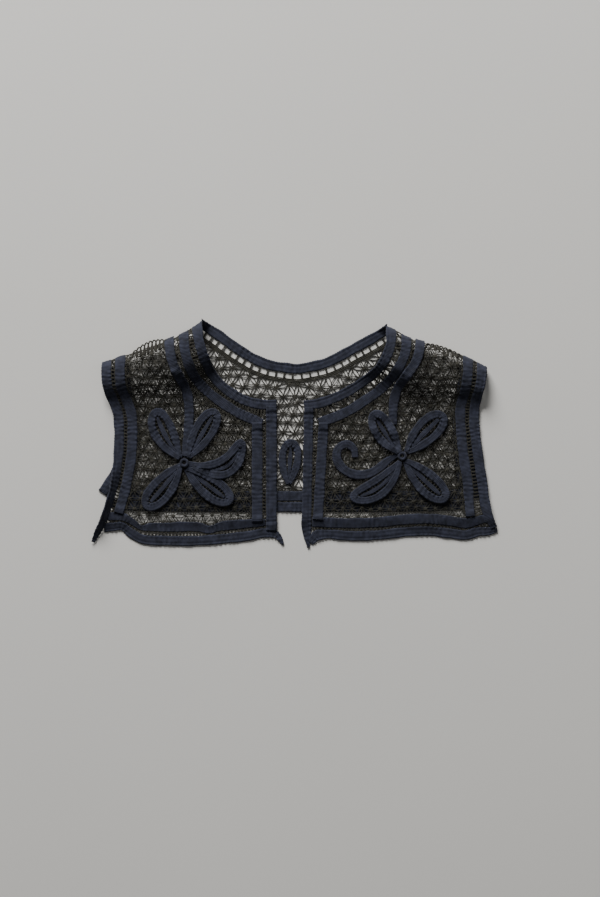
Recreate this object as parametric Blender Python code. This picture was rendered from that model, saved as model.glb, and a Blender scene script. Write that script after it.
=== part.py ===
"""Tape-lace collar with short shoulders, open down the centre front, laid flat on its back.

Every piece is a thin wall that follows one of two cloth surfaces: the back, flat on the table,
and a front on each side, which rolls over the shoulder fold and lies on the back. A piece is drawn
in plan millimetres, laid on its surface and thickened along the surface's normal.
"""
from collections import namedtuple

import bpy
import numpy as np
from mathutils import Matrix, Vector
from mathutils.geometry import delaunay_2d_cdt

MM = 0.001

# Cloth sizes in millimetres
TAPE = 9.5             # width of the woven lace tape
TAPE_WALL = 1.4
NET_WALL = 1.0
SEAM = 0.3             # clearance between neighbouring pieces
ON_BACK = 1.95         # underside of a front where it lies on the back
ON_NET = NET_WALL + SEAM
STEM_ON_NET = NET_WALL + 0.9

# Needle-made net
GAP_SPACING = 10.5
GAP_RADIUS = 3.4
BACK_GAP_SPACING = 8.8
BACK_GAP_RADIUS = 2.8
GAP_SIDES = 6
GAP_MARGIN = 1.5       # net left between a gap and the net's edge
GAP_FROM_TRIM = 0.4    # and between a gap and what lies on the net

# Thread-bound ring at the middle of a flower
RING_RADIUS = 5.6
RING_HOLE = 2.4
RING_SIDES = 14

# Sampling of curved pieces
FINE_STEP = 1.5
LONGEST_STEP = 15.0
SHORTEST_END = 4.0
GRID_STEP = (10.0, 5.5)   # points that make a net follow the roll, across and along
GRID_FROM = 24.0
GRID_CLEAR = 1.2       # from a grid point to the nearest edge
LARGEST_TURN = 17.0    # degrees of bend from one station to the next

Station = namedtuple("Station", "x y width tilt", defaults=(TAPE, 0.0))
Petal = namedtuple("Petal", "name base_x base_y tip_x tip_y bow spread")
Fold = namedtuple("Fold", "x y")
Section = namedtuple("Section", "inward height")

# Section of the shoulder roll at the middle of a shoulder, from its end under the fold, round the
# fold edge, over the crest and down to the flat front: distance in from the fold edge, and height
ROLL = [
    Section(6.0, 2.3), Section(2.4, 3.2), Section(0.3, 5.8), Section(0.5, 9.2), Section(4.0, 12.8),
    Section(11.0, 15.0), Section(20.0, 14.8), Section(29.0, 11.5), Section(38.0, 6.6),
    Section(47.0, 2.6), Section(58.0, 0.3), Section(72.0, 0.0),
]
ROLL_AT_NECK = 1.2     # size of the roll at the neck, against the middle
ROLL_AT_ARM = 0.8
ROLL_NECK_X = 90.0
ROLL_ARM_X = 178.0

FOLDS = {
    "left": [Fold(-182.0, 67.9), Fold(-158.0, 75.5), Fold(-135.0, 83.5), Fold(-120.0, 88.8),
             Fold(-106.0, 95.5), Fold(-94.5, 102.0), Fold(-86.0, 107.8), Fold(-78.0, 113.0)],
    "right": [Fold(78.0, 106.0), Fold(85.5, 103.1), Fold(93.6, 99.3), Fold(111.6, 90.0),
              Fold(133.5, 84.0), Fold(159.0, 74.8), Fold(171.0, 69.2), Fold(183.0, 63.2)],
}

# A front leaves the back's hem and comes down to the table between these two lines
LEAVES_BACK_Y = -77.5
ON_TABLE_Y = -91.0


def hermite(known, values, wanted):
    """Smooth value at each wanted place: cubic pieces whose slopes are the mean of their sides'."""
    known, values = np.asarray(known, float), np.asarray(values, float)
    slopes = np.diff(values, axis=0) / np.diff(known)[:, None]
    at_rows = np.vstack([slopes[:1], (slopes[1:] + slopes[:-1]) / 2, slopes[-1:]])
    wanted = np.clip(wanted, known[0], known[-1])
    i = np.clip(np.searchsorted(known, wanted, side="right") - 1, 0, len(known) - 2)
    length = known[i + 1] - known[i]
    t = ((wanted - known[i]) / length)[:, None]
    length = length[:, None]
    start, end = values[i], values[i + 1]
    m0, m1 = at_rows[i] * length, at_rows[i + 1] * length
    return ((2 * t ** 3 - 3 * t ** 2 + 1) * start + (t ** 3 - 2 * t ** 2 + t) * m0
            + (3 * t ** 2 - 2 * t ** 3) * end + (t ** 3 - t ** 2) * m1)


def run_lengths(points):
    """Distance along a line of points, from its first to each."""
    steps = np.linalg.norm(np.diff(points, axis=0), axis=1)
    return np.concatenate([[0.0], np.cumsum(steps)])


def smoothstep(t):
    """0 to 1 with level ends."""
    t = np.clip(t, 0.0, 1.0)
    return t * t * (3 - 2 * t)


class Roll:
    """The roll's section, read by its own arc length from the fold edge."""

    def __init__(self):
        rows = np.array(ROLL, float)
        along = run_lengths(rows)
        fine = np.linspace(0.0, along[-1], 400)
        self.line = hermite(along, rows, fine)
        arc = run_lengths(self.line)
        fold = int(np.argmin(self.line[:, 0]))
        self.arc = arc - arc[fold]
        self.fold = fold
        self.under_end = self.arc[0]
        # how much longer the cloth is than the plan distance it covers
        self.spare = self.arc[-1] - self.line[-1, 0]

    def inward(self, arc):
        beyond = np.maximum(arc - self.arc[-1], 0.0) + np.maximum(self.under_end - arc, 0.0)
        return np.interp(arc, self.arc, self.line[:, 0]) + beyond

    def height(self, arc):
        return np.interp(arc, self.arc, self.line[:, 1])

    def arc_at(self, inward):
        top = slice(self.fold, None)
        beyond = np.maximum(inward - self.line[-1, 0], 0.0)
        return np.interp(inward, self.line[top, 0], self.arc[top]) + beyond


class Front:
    """A front's cloth laid out: x as in plan, v the plan's y on the flat and further up on the roll."""

    def __init__(self, side):
        self.rows = np.array(FOLDS[side], float)
        self.roll = Roll()

    def fold_y(self, x):
        return hermite(self.rows[:, 0], self.rows[:, 1:], np.asarray(x, float))[:, 0]

    def size(self, x):
        share = (np.abs(x) - ROLL_NECK_X) / (ROLL_ARM_X - ROLL_NECK_X)
        return ROLL_AT_NECK + (ROLL_AT_ARM - ROLL_AT_NECK) * np.clip(share, 0.0, 1.0)

    def laid_out(self, x, y):
        """v of a place seen from above."""
        size = self.size(x)
        arc = size * self.roll.arc_at((self.fold_y(x) - y) / size)
        return self.fold_y(x) + size * self.roll.spare - arc

    def v_at(self, x, arc):
        """v at an arc length from the fold edge, both at the middle's size."""
        return self.fold_y(x) + self.size(x) * (self.roll.spare - arc)

    def under_end(self, x, share=1.0):
        """v where the front's pieces end, under the fold, or at a share of the way there."""
        return self.v_at(x, share * self.roll.under_end)

    def place(self, points):
        x, v = points[:, 0], points[:, 1]
        size = self.size(x)
        arc = (self.fold_y(x) + size * self.roll.spare - v) / size
        y = self.fold_y(x) - size * self.roll.inward(arc)
        on_back = ON_BACK * smoothstep((y - ON_TABLE_Y) / (LEAVES_BACK_Y - ON_TABLE_Y))
        settled = smoothstep((arc - 12.0) / 40.0)
        z = size * self.roll.height(arc) + on_back * settled
        return np.column_stack([x, y, z])


class Back:
    """The back's cloth, flat on the table, rising a little to meet the shoulder folds."""

    MEET = 0.35        # height of the back's edge under a shoulder fold
    TIP_RISE = 6.5     # height of the neck tape where it comes off a fold's tip
    TIP_REACH = 11.0

    def __init__(self, fronts):
        self.fronts = fronts

    def place(self, points):
        x, y = points[:, 0], points[:, 1]
        z = np.zeros(len(points))
        for sign, front in ((-1, self.fronts["left"]), (1, self.fronts["right"])):
            inward = front.fold_y(x) - y
            out = sign * x - sign * front.rows[-2 if sign < 0 else 1, 0]
            near = smoothstep((out + 24.0) / 14.0)
            z = np.maximum(z, self.MEET * near * (1 - smoothstep((inward - 8.0) / 8.0)))
            rise = np.clip(1 - inward / self.TIP_REACH, 0.0, 1.2) ** 2
            z = np.maximum(z, self.TIP_RISE * rise * np.exp(-np.clip(-out, 0, 80) ** 2 / 90.0))
        return np.column_stack([x, y, z])


FRONTS = {side: Front(side) for side in FOLDS}
BACK = Back(FRONTS)


def with_normals(surface, points):
    """Places on a surface and its outward normals there."""
    e = 0.05
    here = surface.place(points)
    along_x = surface.place(points + [e, 0.0]) - surface.place(points - [e, 0.0])
    along_y = surface.place(points + [0.0, e]) - surface.place(points - [0.0, e])
    normals = np.cross(along_x, along_y)
    return here, normals / np.linalg.norm(normals, axis=1)[:, None]


def sampled(surface, rows):
    """Rows along a smooth curve, close together only where the cloth or the curve bends."""
    rows = np.asarray(rows, float)
    along = run_lengths(rows[:, :2])
    fine = np.linspace(0.0, along[-1], max(4, int(along[-1] / FINE_STEP) + 1))
    curve = hermite(along, rows, fine)
    places = surface.place(curve[:, :2])
    steps = np.diff(places, axis=0)
    steps = steps / np.linalg.norm(steps, axis=1)[:, None]
    kept = [0]
    direction = steps[0]
    for i in range(1, len(curve) - 1):
        turn = np.degrees(np.arccos(np.clip(steps[i] @ direction, -1.0, 1.0)))
        if turn > LARGEST_TURN or fine[i] - fine[kept[-1]] > LONGEST_STEP:
            kept.append(i)
            direction = steps[i]
    if fine[-1] - fine[kept[-1]] < SHORTEST_END and len(kept) > 1:
        kept.pop()
    kept.append(len(curve) - 1)
    return curve[kept]


def sideways(curve):
    """Unit vectors to the left of a curve's run."""
    run = np.gradient(curve[:, :2], axis=0)
    run = run / np.linalg.norm(run, axis=1)[:, None]
    return np.column_stack([-run[:, 1], run[:, 0]])


class Tape:
    """A woven tape along its stations, on a front or on the back."""

    def __init__(self, surface, stations, over_fold=0.0, ends_at=None):
        rows = np.array(stations, float)
        if isinstance(surface, Front):
            rows[:, 1] = surface.laid_out(rows[:, 0], rows[:, 1])
            if over_fold:
                rows = np.vstack([self.over_the_fold(surface, rows[0], over_fold), rows])
        self.surface = surface
        self.curve = sampled(surface, rows)
        self.over_fold = over_fold
        self.ends_at = ends_at

    @staticmethod
    def over_the_fold(front, first, share):
        """Stations round the fold edge, from the tape's end under it."""
        added = np.repeat(first[None], 2, axis=0)
        added[:, 1] = [front.under_end(first[:1], share)[0], front.v_at(first[:1], 0.0)[0]]
        return added

    def edge(self, hand, offset=0.0):
        """The tape's left (+1) or right (-1) edge, moved out by an offset; ends may be cut at an x."""
        half = self.curve[:, 2:3] / 2 + offset
        if offset > 0:
            # a leaning tape's wall comes out over its lower edge
            half = half + TAPE_WALL * np.abs(np.sin(np.radians(self.curve[:, 3:4])))
        line = self.curve[:, :2] + hand * sideways(self.curve) * half
        if self.over_fold == 1.0:
            line[0, 1] = self.surface.under_end(line[:1, 0])[0]
        for end, inner, x in ((0, 1, -1), (-1, -2, 1)) if self.ends_at else ():
            run = line[end] - line[inner]
            line[end] += run * (x * self.ends_at - line[end, 0]) / run[0]
        return line


def strip_mesh(tape, wall, lift):
    """A tape's closed wall: four corners at each station, joined by quads and capped."""
    left, normals_left = with_normals(tape.surface, tape.edge(1))
    right, normals_right = with_normals(tape.surface, tape.edge(-1))
    tilt = np.radians(tape.curve[:, 3])[:, None]
    width = tape.curve[:, 2:3]
    across = (left - right) / np.linalg.norm(left - right, axis=1)[:, None]
    # a tilted tape has its left edge raised, or its right one where the tilt is below zero
    pull, rise = (1 - np.cos(tilt)) * width, np.abs(np.sin(tilt)) * width
    left = left + np.where(tilt > 0, normals_left * rise - across * pull, 0.0)
    right = right + np.where(tilt < 0, normals_right * rise + across * pull, 0.0)
    face = np.cross(np.gradient((left + right) / 2, axis=0), left - right)
    face = face / np.linalg.norm(face, axis=1)[:, None]
    turned = np.abs(tilt) > 1e-6
    up_left = np.where(turned, face, normals_left)
    up_right = np.where(turned, face, normals_right)
    rings = np.stack([right + up_right * lift, left + up_left * lift,
                      left + up_left * (lift + wall), right + up_right * (lift + wall)], axis=1)
    count = len(rings)
    faces = []
    for i in range(count - 1):
        for j in range(4):
            k = (j + 1) % 4
            faces.append((4 * i + j, 4 * i + k, 4 * (i + 1) + k, 4 * (i + 1) + j))
    faces.append((3, 2, 1, 0))
    faces.append(tuple(4 * (count - 1) + j for j in range(4)))
    return rings.reshape(-1, 3), faces


def inside(points, loop):
    """Which points lie within a closed loop, by counting crossings."""
    x, y = points[:, 0][:, None], points[:, 1][:, None]
    x0, y0 = loop[:, 0], loop[:, 1]
    x1, y1 = np.roll(x0, -1), np.roll(y0, -1)
    spans = (y0 > y) != (y1 > y)
    rise = np.where(y1 == y0, 1e-9, y1 - y0)
    crossing = x0 + (y - y0) / rise * (x1 - x0)
    return (spans & (x < crossing)).sum(axis=1) % 2 == 1


def distance_to(points, loop):
    """Each point's distance to a closed loop's sides."""
    start, end = loop, np.roll(loop, -1, axis=0)
    side = end - start
    share = ((points[:, None] - start) * side).sum(-1) / (side ** 2).sum(-1)
    nearest = start + np.clip(share, 0, 1)[..., None] * side
    return np.linalg.norm(points[:, None] - nearest, axis=-1).min(axis=1)


def panel_mesh(surface, outline, gaps, wall, lift, extra=(), ladder=()):
    """A wall over an outline with gaps cut through it: Delaunay triangles, doubled and joined.

    extra points make it follow a bend; a ladder, the two edges of a strip, lends it the strip's facets.
    """
    loops = [outline] + gaps
    points = np.vstack(loops + [part for part in (extra, *ladder) if len(part)])
    edges = []
    first = 0
    for loop in loops:
        edges += [(first + i, first + (i + 1) % len(loop)) for i in range(len(loop))]
        first += len(loop)
    if len(ladder):
        count = len(ladder[0])
        first = len(points) - 2 * count
        edges += [(first + i, first + count + i) for i in range(count)]
        edges += [(first + i + 1, first + count + i) for i in range(count - 1)]
        for start in (first, first + count):
            edges += [(start + i, start + i + 1) for i in range(count - 1)]
    made = delaunay_2d_cdt([Vector(p) for p in points], edges, [], 0, 1e-6)
    flat = np.array([tuple(p) for p in made[0]])
    triangles = np.array(made[2])
    middles = flat[triangles].mean(axis=1)
    kept = inside(middles, outline)
    for gap in gaps:
        kept &= ~inside(middles, gap)
    triangles = triangles[kept]
    a, b, c = flat[triangles[:, 0]], flat[triangles[:, 1]], flat[triangles[:, 2]]
    turned = (b[:, 0] - a[:, 0]) * (c[:, 1] - a[:, 1]) < (b[:, 1] - a[:, 1]) * (c[:, 0] - a[:, 0])
    triangles[turned] = triangles[turned][:, ::-1]
    used = np.unique(triangles)
    renumber = np.zeros(len(flat), int)
    renumber[used] = np.arange(len(used))
    triangles = renumber[triangles]
    low, normals = with_normals(surface, flat[used])
    count = len(used)
    vertices = np.vstack([low + normals * lift, low + normals * (lift + wall)])
    faces = [tuple(t[::-1]) for t in triangles] + [tuple(t + count) for t in triangles]
    directed = {(t[i], t[(i + 1) % 3]) for t in triangles for i in range(3)}
    for a, b in directed:
        if (b, a) not in directed:
            faces.append((a, b, b + count, a + count))
    return vertices, faces


def crossing(first, second):
    """Where one line of points crosses another: segment numbers and the place, or None."""
    for i in range(len(first) - 1, 0, -1):
        for j in range(len(second) - 1):
            p, r = first[i - 1], first[i] - first[i - 1]
            q, s = second[j], second[j + 1] - second[j]
            cross = r[0] * s[1] - r[1] * s[0]
            if abs(cross) < 1e-9:
                continue
            t = ((q - p)[0] * s[1] - (q - p)[1] * s[0]) / cross
            u = ((q - p)[0] * r[1] - (q - p)[1] * r[0]) / cross
            if 0 <= t <= 1 and 0 <= u <= 1:
                return i, j, p + t * r
    return None


def joined(lines):
    """A closed outline from lines that run on one into the next, cut where two cross."""
    lines = [np.array(line) for line in lines]
    for n in range(len(lines)):
        here, after = lines[n], lines[(n + 1) % len(lines)]
        met = crossing(here, after)
        if met:
            i, j, corner = met
            lines[n] = np.vstack([here[:i], corner])
            lines[(n + 1) % len(lines)] = after[j + 1:]
    outline = np.vstack(lines)
    gap = np.linalg.norm(outline - np.roll(outline, 1, axis=0), axis=1)
    return outline[gap > 0.05]


def part_way(line, share):
    """The place at a share of a line's length."""
    along = run_lengths(line)
    return np.array([np.interp(share * along[-1], along, line[:, i]) for i in (0, 1)])


def ladder_gaps(far, near, count, near_rim):
    """Four-sided gaps between the thread bars of a ladder, from one edge to the other."""
    length = run_lengths(far)[-1]
    bar = LADDER_BAR / length / 2
    gaps = []
    for n in range(count):
        corners = []
        for share in (n / count + bar, (n + 1) / count - bar):
            start, end = part_way(far, share), part_way(near, share)
            across = (end - start) / np.linalg.norm(end - start)
            corners.append((start + across * LADDER_RIM, end - across * near_rim))
        gaps.append(np.array([corners[0][0], corners[1][0], corners[1][1], corners[0][1]]))
    return gaps


def round_loop(x, y, radius, sides):
    angles = (np.arange(sides) + 0.5) * 2 * np.pi / sides
    return np.column_stack([x + radius * np.cos(angles), y + radius * np.sin(angles)])


def net_gaps(outline, clear_of, spacing=GAP_SPACING, radius=GAP_RADIUS):
    """Gaps in staggered rows, wherever a whole one fits clear of the edges and of what lies on top."""
    low, high = outline.min(axis=0), outline.max(axis=0)
    row_height = spacing * np.sqrt(0.75)
    rows = np.arange(low[1], high[1], row_height)
    columns = np.arange(low[0], high[0], spacing)
    xs, ys = np.meshgrid(columns, rows)
    xs[1::2] += spacing / 2
    places = np.column_stack([xs.ravel(), ys.ravel()])
    kept = inside(places, outline) & (distance_to(places, outline) > radius + GAP_MARGIN)
    for loop in clear_of:
        kept &= ~inside(places, loop) & (distance_to(places, loop) > radius + GAP_FROM_TRIM)
    return [round_loop(x, y, radius, GAP_SIDES) for x, y in places[kept]]


def grid_between(outline, gaps, step, lowest):
    """Points that make a panel follow a bend: a grid above a line, clear of the gaps and edges."""
    low, high = outline.min(axis=0), outline.max(axis=0)
    xs, ys = np.meshgrid(np.arange(low[0], high[0], step[0]), np.arange(lowest, high[1], step[1]))
    points = np.column_stack([xs.ravel(), ys.ravel()])
    kept = inside(points, outline) & (distance_to(points, outline) > GRID_CLEAR)
    for gap in gaps:
        kept &= ~inside(points, gap) & (distance_to(points, gap) > GRID_CLEAR)
    return points[kept]


def petal_outline(petal):
    """A long leaf shape on a bowed axis: narrow base, widest past its middle, round tip."""
    base = np.array([petal.base_x, petal.base_y])
    tip = np.array([petal.tip_x, petal.tip_y])
    run = tip - base
    length = np.linalg.norm(run)
    left = np.array([-run[1], run[0]]) / length
    share = np.array([0.0, 0.16, 0.34, 0.52, 0.7, 0.84, 0.94, 1.0])
    half = np.array([0.3, 0.55, 0.82, 0.98, 1.0, 0.82, 0.5, 0.16]) * petal.spread
    axis = base + share[:, None] * run + (4 * share * (1 - share) * petal.bow)[:, None] * left
    lines = [axis + hand * half[:, None] * left for hand in (1, -1)]
    return np.vstack([lines[1], lines[0][::-1]])


def petal_slot(petal):
    """The open line between the two sides of the looped tape."""
    base = np.array([petal.base_x, petal.base_y])
    run = np.array([petal.tip_x, petal.tip_y]) - base
    left = np.array([-run[1], run[0]]) / np.linalg.norm(run)
    share = np.array([0.3, 0.5, 0.68, 0.78])
    half = np.array([0.5, 1.3, 1.6, 0.8])
    axis = base + share[:, None] * run + (4 * share * (1 - share) * petal.bow)[:, None] * left
    return np.vstack([axis - half[:, None] * left, (axis + half[:, None] * left)[::-1]])


def material(name, colour, roughness):
    made = bpy.data.materials.new(name)
    made.use_nodes = True
    shader = made.node_tree.nodes["Principled BSDF"]
    shader.inputs["Base Color"].default_value = (*colour, 1.0)
    shader.inputs["Roughness"].default_value = roughness
    shader.inputs["Metallic"].default_value = 0.0
    return made


def add_object(name, mesh_data, finish):
    vertices, faces = mesh_data
    mesh = bpy.data.meshes.new(name)
    mesh.from_pydata((vertices * MM).tolist(), [], [tuple(int(i) for i in face) for face in faces])
    mesh.validate()
    mesh.update()
    piece = bpy.data.objects.new(name, mesh)
    piece.data.materials.append(finish)
    bpy.context.scene.collection.objects.link(piece)
    return piece


# Tapes of the left front, seen from above, from the shoulder down and from the arm to the centre
LEFT_TAPES = {
    "neck_outer": [
        Station(-91.5, 103.0), Station(-90.2, 90.7), Station(-86.0, 75.5), Station(-79.3, 60.3),
        Station(-71.7, 49.9), Station(-62.2, 41.8), Station(-46.0, 32.8), Station(-31.0, 29.4),
        Station(-16.8, 29.2)],
    "neck_inner": [
        Station(-104.3, 95.0), Station(-103.2, 81.2), Station(-99.3, 66.0), Station(-92.0, 52.0),
        Station(-81.0, 40.5), Station(-67.9, 30.4), Station(-53.7, 21.6), Station(-34.5, 13.0)],
    "stem": [
        Station(-117.5, 84.5, 9.0), Station(-115.6, 72.0, 9.0), Station(-108.0, 54.6, 9.0),
        Station(-101.6, 39.4, 9.0), Station(-99.8, 22.3, 9.0), Station(-100.6, 7.1, 8.5),
        Station(-102.6, -7.1, 7.0), Station(-104.0, -17.5, 5.0)],
    "front_outer": [Station(-21.8, 24.1, 10.2), Station(-21.8, -30.0, 10.2), Station(-21.8, -84.6, 10.2)],
    "front_inner": [Station(-35.3, 7.4, 10.2), Station(-35.3, -35.0, 10.2), Station(-35.3, -78.4, 10.2)],
    "hem_outer": [
        Station(-172.0, -86.6, 8.5), Station(-163.9, -86.0, 8.2), Station(-155.3, -92.4, 8.4),
        Station(-144.9, -98.2, 9.0), Station(-123.0, -99.9), Station(-89.8, -99.9), Station(-66.0, -97.9),
        Station(-42.3, -95.2), Station(-27.0, -92.4, 9.0), Station(-17.2, -94.4, 7.5),
        Station(-10.5, -103.5, 2.2)],
    "hem_inner": [
        Station(-173.0, -76.6, 8.4), Station(-161.5, -77.5, 7.0), Station(-153.2, -82.2, 5.6),
        Station(-145.3, -87.6, 5.0), Station(-136.8, -87.0, 8.0), Station(-123.0, -87.1, 9.2),
        Station(-89.8, -87.1, 9.2), Station(-81.7, -89.4, 7.4), Station(-68.9, -86.1, 9.2),
        Station(-51.8, -84.2, 9.0), Station(-28.0, -82.3, 6.4)],
    "side_outer": [
        Station(-177.5, 64.0), Station(-177.6, 56.0), Station(-176.0, 44.0), Station(-171.8, 33.0),
        Station(-167.7, 22.0), Station(-166.4, 8.0), Station(-166.5, -8.0, TAPE, -8.0),
        Station(-168.2, -26.0, TAPE, -24.0), Station(-171.6, -43.0, TAPE, -40.0),
        Station(-176.4, -60.0, TAPE, -48.0), Station(-182.6, -78.0, TAPE, -48.0),
        Station(-188.0, -92.0, 7.0, -35.0), Station(-191.5, -101.0, 3.5, -20.0)],
    "side_inner": [
        Station(-164.3, 70.0), Station(-164.6, 58.0), Station(-163.2, 44.0), Station(-158.8, 33.0),
        Station(-154.6, 20.0), Station(-153.7, 2.0), Station(-154.8, -20.0), Station(-157.6, -37.5),
        Station(-160.8, -52.7), Station(-165.4, -69.0, 9.0)],
}

# How far each of these goes under the fold, as a share of the way to the back's edge
OVER_FOLD = {"neck_outer": 1.0, "neck_inner": 1.0, "stem": 0.4, "side_outer": 1.0, "side_inner": 1.0}

LEFT_RING = (-105.0, -25.2)
LEFT_PETALS = [
    Petal("petal_upper_right", -97.6, -18.0, -73.6, 25.0, 0.0, 9.8),
    Petal("petal_upper_left", -111.6, -18.2, -132.8, 25.4, 2.5, 10.6),
    Petal("petal_lower_left", -111.2, -31.2, -142.4, -69.4, 1.0, 11.0),
    Petal("petal_lower_right", -101.2, -36.0, -59.0, -64.0, -0.5, 10.8),
    Petal("petal_right", -96.2, -26.4, -49.4, -3.2, -17.5, 9.4),
]

RIGHT_TAPES = {
    "neck_outer": [
        Station(91.0, 98.0), Station(90.7, 86.0), Station(86.9, 74.6), Station(78.4, 62.2),
        Station(66.0, 51.8), Station(53.7, 43.4), Station(40.4, 36.6), Station(24.2, 30.6),
        Station(9.0, 28.4)],
    "neck_inner": [
        Station(105.5, 90.5), Station(104.6, 79.0), Station(99.0, 65.0), Station(89.5, 52.0),
        Station(79.4, 42.0), Station(66.0, 32.6), Station(53.4, 24.4), Station(40.4, 18.2),
        Station(27.0, 13.4)],
    "stem": [
        Station(118.2, 84.5, 9.0), Station(115.5, 72.0, 9.0), Station(105.5, 57.0, 9.0),
        Station(96.5, 41.3, 9.0), Station(93.8, 29.0, 9.0), Station(93.4, 18.0, 8.0)],
    "front_outer": [
        Station(13.5, 23.0, 9.0), Station(13.3, 5.0, 9.0), Station(12.6, -33.0, 9.0),
        Station(11.9, -61.0, 9.0), Station(11.6, -89.0, 9.0), Station(13.4, -106.5, 2.6)],
    "front_inner": [
        Station(27.3, 7.2), Station(26.4, -10.0), Station(25.0, -33.0), Station(23.4, -61.0),
        Station(22.4, -76.6)],
    "hem_outer": [
        Station(18.2, -100.4, 3.0), Station(22.6, -95.6, 6.0), Station(30.5, -93.8, 9.2),
        Station(52.7, -95.4), Station(81.2, -94.4), Station(105.0, -91.6), Station(126.8, -90.7),
        Station(147.7, -93.0), Station(162.9, -94.6), Station(174.3, -91.4, 9.0),
        Station(184.0, -91.5, 7.0), Station(192.6, -90.6, 3.6)],
    "hem_inner": [
        Station(22.4, -82.2), Station(52.7, -83.2), Station(81.2, -82.2), Station(105.0, -79.6),
        Station(128.7, -79.0), Station(147.7, -81.0), Station(163.0, -83.2), Station(174.0, -80.6, 8.4)],
    "side_outer": [
        Station(176.9, 60.5), Station(176.0, 50.0), Station(173.4, 39.0), Station(170.9, 26.0),
        Station(170.5, 12.0), Station(171.9, -2.0), Station(174.8, -23.3), Station(178.2, -45.0),
        Station(180.8, -64.0, TAPE, 10.0), Station(184.8, -77.0, 8.0, 22.0),
        Station(189.6, -85.6, 5.0, 12.0)],
    "side_inner": [
        Station(163.8, 66.5), Station(163.0, 52.7), Station(160.6, 38.5), Station(157.6, 26.1),
        Station(158.0, 5.2), Station(161.0, -23.3), Station(164.3, -45.0), Station(166.4, -72.0, 8.6)],
}

RIGHT_RING = (102.1, -19.5)
RIGHT_PETALS = [
    Petal("petal_upper_right", 109.2, -13.2, 142.8, 21.2, 0.5, 11.0),
    Petal("petal_upper_left", 96.6, -13.4, 74.4, 23.2, 1.5, 9.6),
    Petal("petal_lower_left", 98.8, -28.6, 51.5, -57.8, 7.6, 9.4),
    Petal("petal_lower_right", 107.4, -27.4, 144.8, -60.4, -1.0, 10.6),
]

# The right flower's fifth petal is a single tape that curls back on itself
RIGHT_SCROLL = [
    Station(94.0, -20.6, 5.0), Station(88.4, -24.0, 7.0), Station(81.0, -30.4, 8.4),
    Station(71.7, -35.8, 8.6), Station(60.3, -37.4, 8.6), Station(50.8, -34.8, 8.6),
    Station(43.4, -28.6, 8.6), Station(40.0, -20.0, 8.4), Station(42.3, -11.6, 8.0),
    Station(49.9, -8.4, 7.6), Station(56.6, -13.4, 7.0), Station(57.4, -21.0, 6.0),
]

# Tapes of the back, from its left side to its right, or from its shoulders down
BACK_TAPES = {
    "neck": [
        Station(-81.8, 101.6, 9.0), Station(-71.2, 94.8), Station(-59.4, 86.0), Station(-47.0, 77.8),
        Station(-35.6, 71.4), Station(-21.7, 66.4), Station(-9.0, 64.4), Station(2.4, 63.2),
        Station(13.8, 65.0), Station(28.0, 68.2), Station(40.7, 73.8), Station(53.4, 80.8),
        Station(66.0, 87.6), Station(74.0, 92.0), Station(80.0, 95.6, 9.0)],
    "hem_outer": [
        Station(-173.0, -64.9), Station(-150.0, -67.0), Station(-90.0, -67.9), Station(0.0, -68.0),
        Station(90.0, -67.9), Station(150.0, -66.4), Station(171.0, -64.4)],
    "hem_inner": [
        Station(-158.8, -55.2), Station(-150.0, -56.6), Station(-90.0, -57.5), Station(0.0, -57.6),
        Station(90.0, -57.5), Station(150.0, -56.2), Station(159.5, -54.9)],
    "side_outer_left": [
        Station(-174.6, 62.8), Station(-168.6, 36.0), Station(-162.6, 14.0), Station(-162.0, -6.0),
        Station(-164.5, -22.0), Station(-171.5, -38.0), Station(-182.2, -54.6)],
    "side_inner_left": [
        Station(-162.6, 66.8), Station(-158.0, 36.0), Station(-152.4, 14.0), Station(-151.8, -6.0),
        Station(-154.0, -22.0), Station(-158.0, -36.0), Station(-163.4, -48.6, 8.6)],
    "side_outer_right": [
        Station(173.6, 58.8), Station(169.0, 36.0), Station(165.6, 14.0), Station(166.4, -8.0),
        Station(168.6, -30.0), Station(171.2, -58.6)],
    "side_inner_right": [
        Station(161.8, 64.6), Station(158.4, 36.0), Station(155.4, 14.0), Station(156.2, -8.0),
        Station(158.2, -30.0), Station(159.8, -48.9)],
}

# Ladders with open gaps: below the back's neck tape, and between the right front's neck tapes
BACK_LADDER_GAPS = 26
BACK_LADDER_WIDTH = 7.4
FRONT_LADDER_GAPS = 15
LADDER_BAR = 1.7
LADDER_RIM = 0.8
LADDER_BAND = 2.0      # cord that closes the back's ladder
TIP_X = 86.2           # where the back's neck tape comes out from under a front's

# What shows of the back between the two fronts, x and y
BACK_SHOWS = [(-86.0, 100.0), (-80.0, 66.0), (-66.0, 48.0), (-46.0, 37.5), (-16.5, 33.5), (-16.5, -52.0),
              (8.5, -52.0), (8.5, 32.0), (40.0, 41.0), (66.0, 57.0), (82.0, 76.0), (86.0, 96.0)]
BACK_MOTIF = Petal("motif", -5.6, -46.5, -3.0, -3.5, 0.0, 10.4)


def make_tapes(surface, table, finish, prefix, over_fold):
    tapes = {}
    for name, stations in table.items():
        tapes[name] = Tape(surface, stations, over_fold.get(name, 0.0), TIP_X if name == "neck" else None)
        lift = STEM_ON_NET if name == "stem" else 0.0
        add_object(prefix + name, strip_mesh(tapes[name], TAPE_WALL, lift), finish)
    return tapes


def between(first, second):
    """Outline between two edges that run the same way."""
    return np.vstack([first, second[::-1]])


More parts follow.
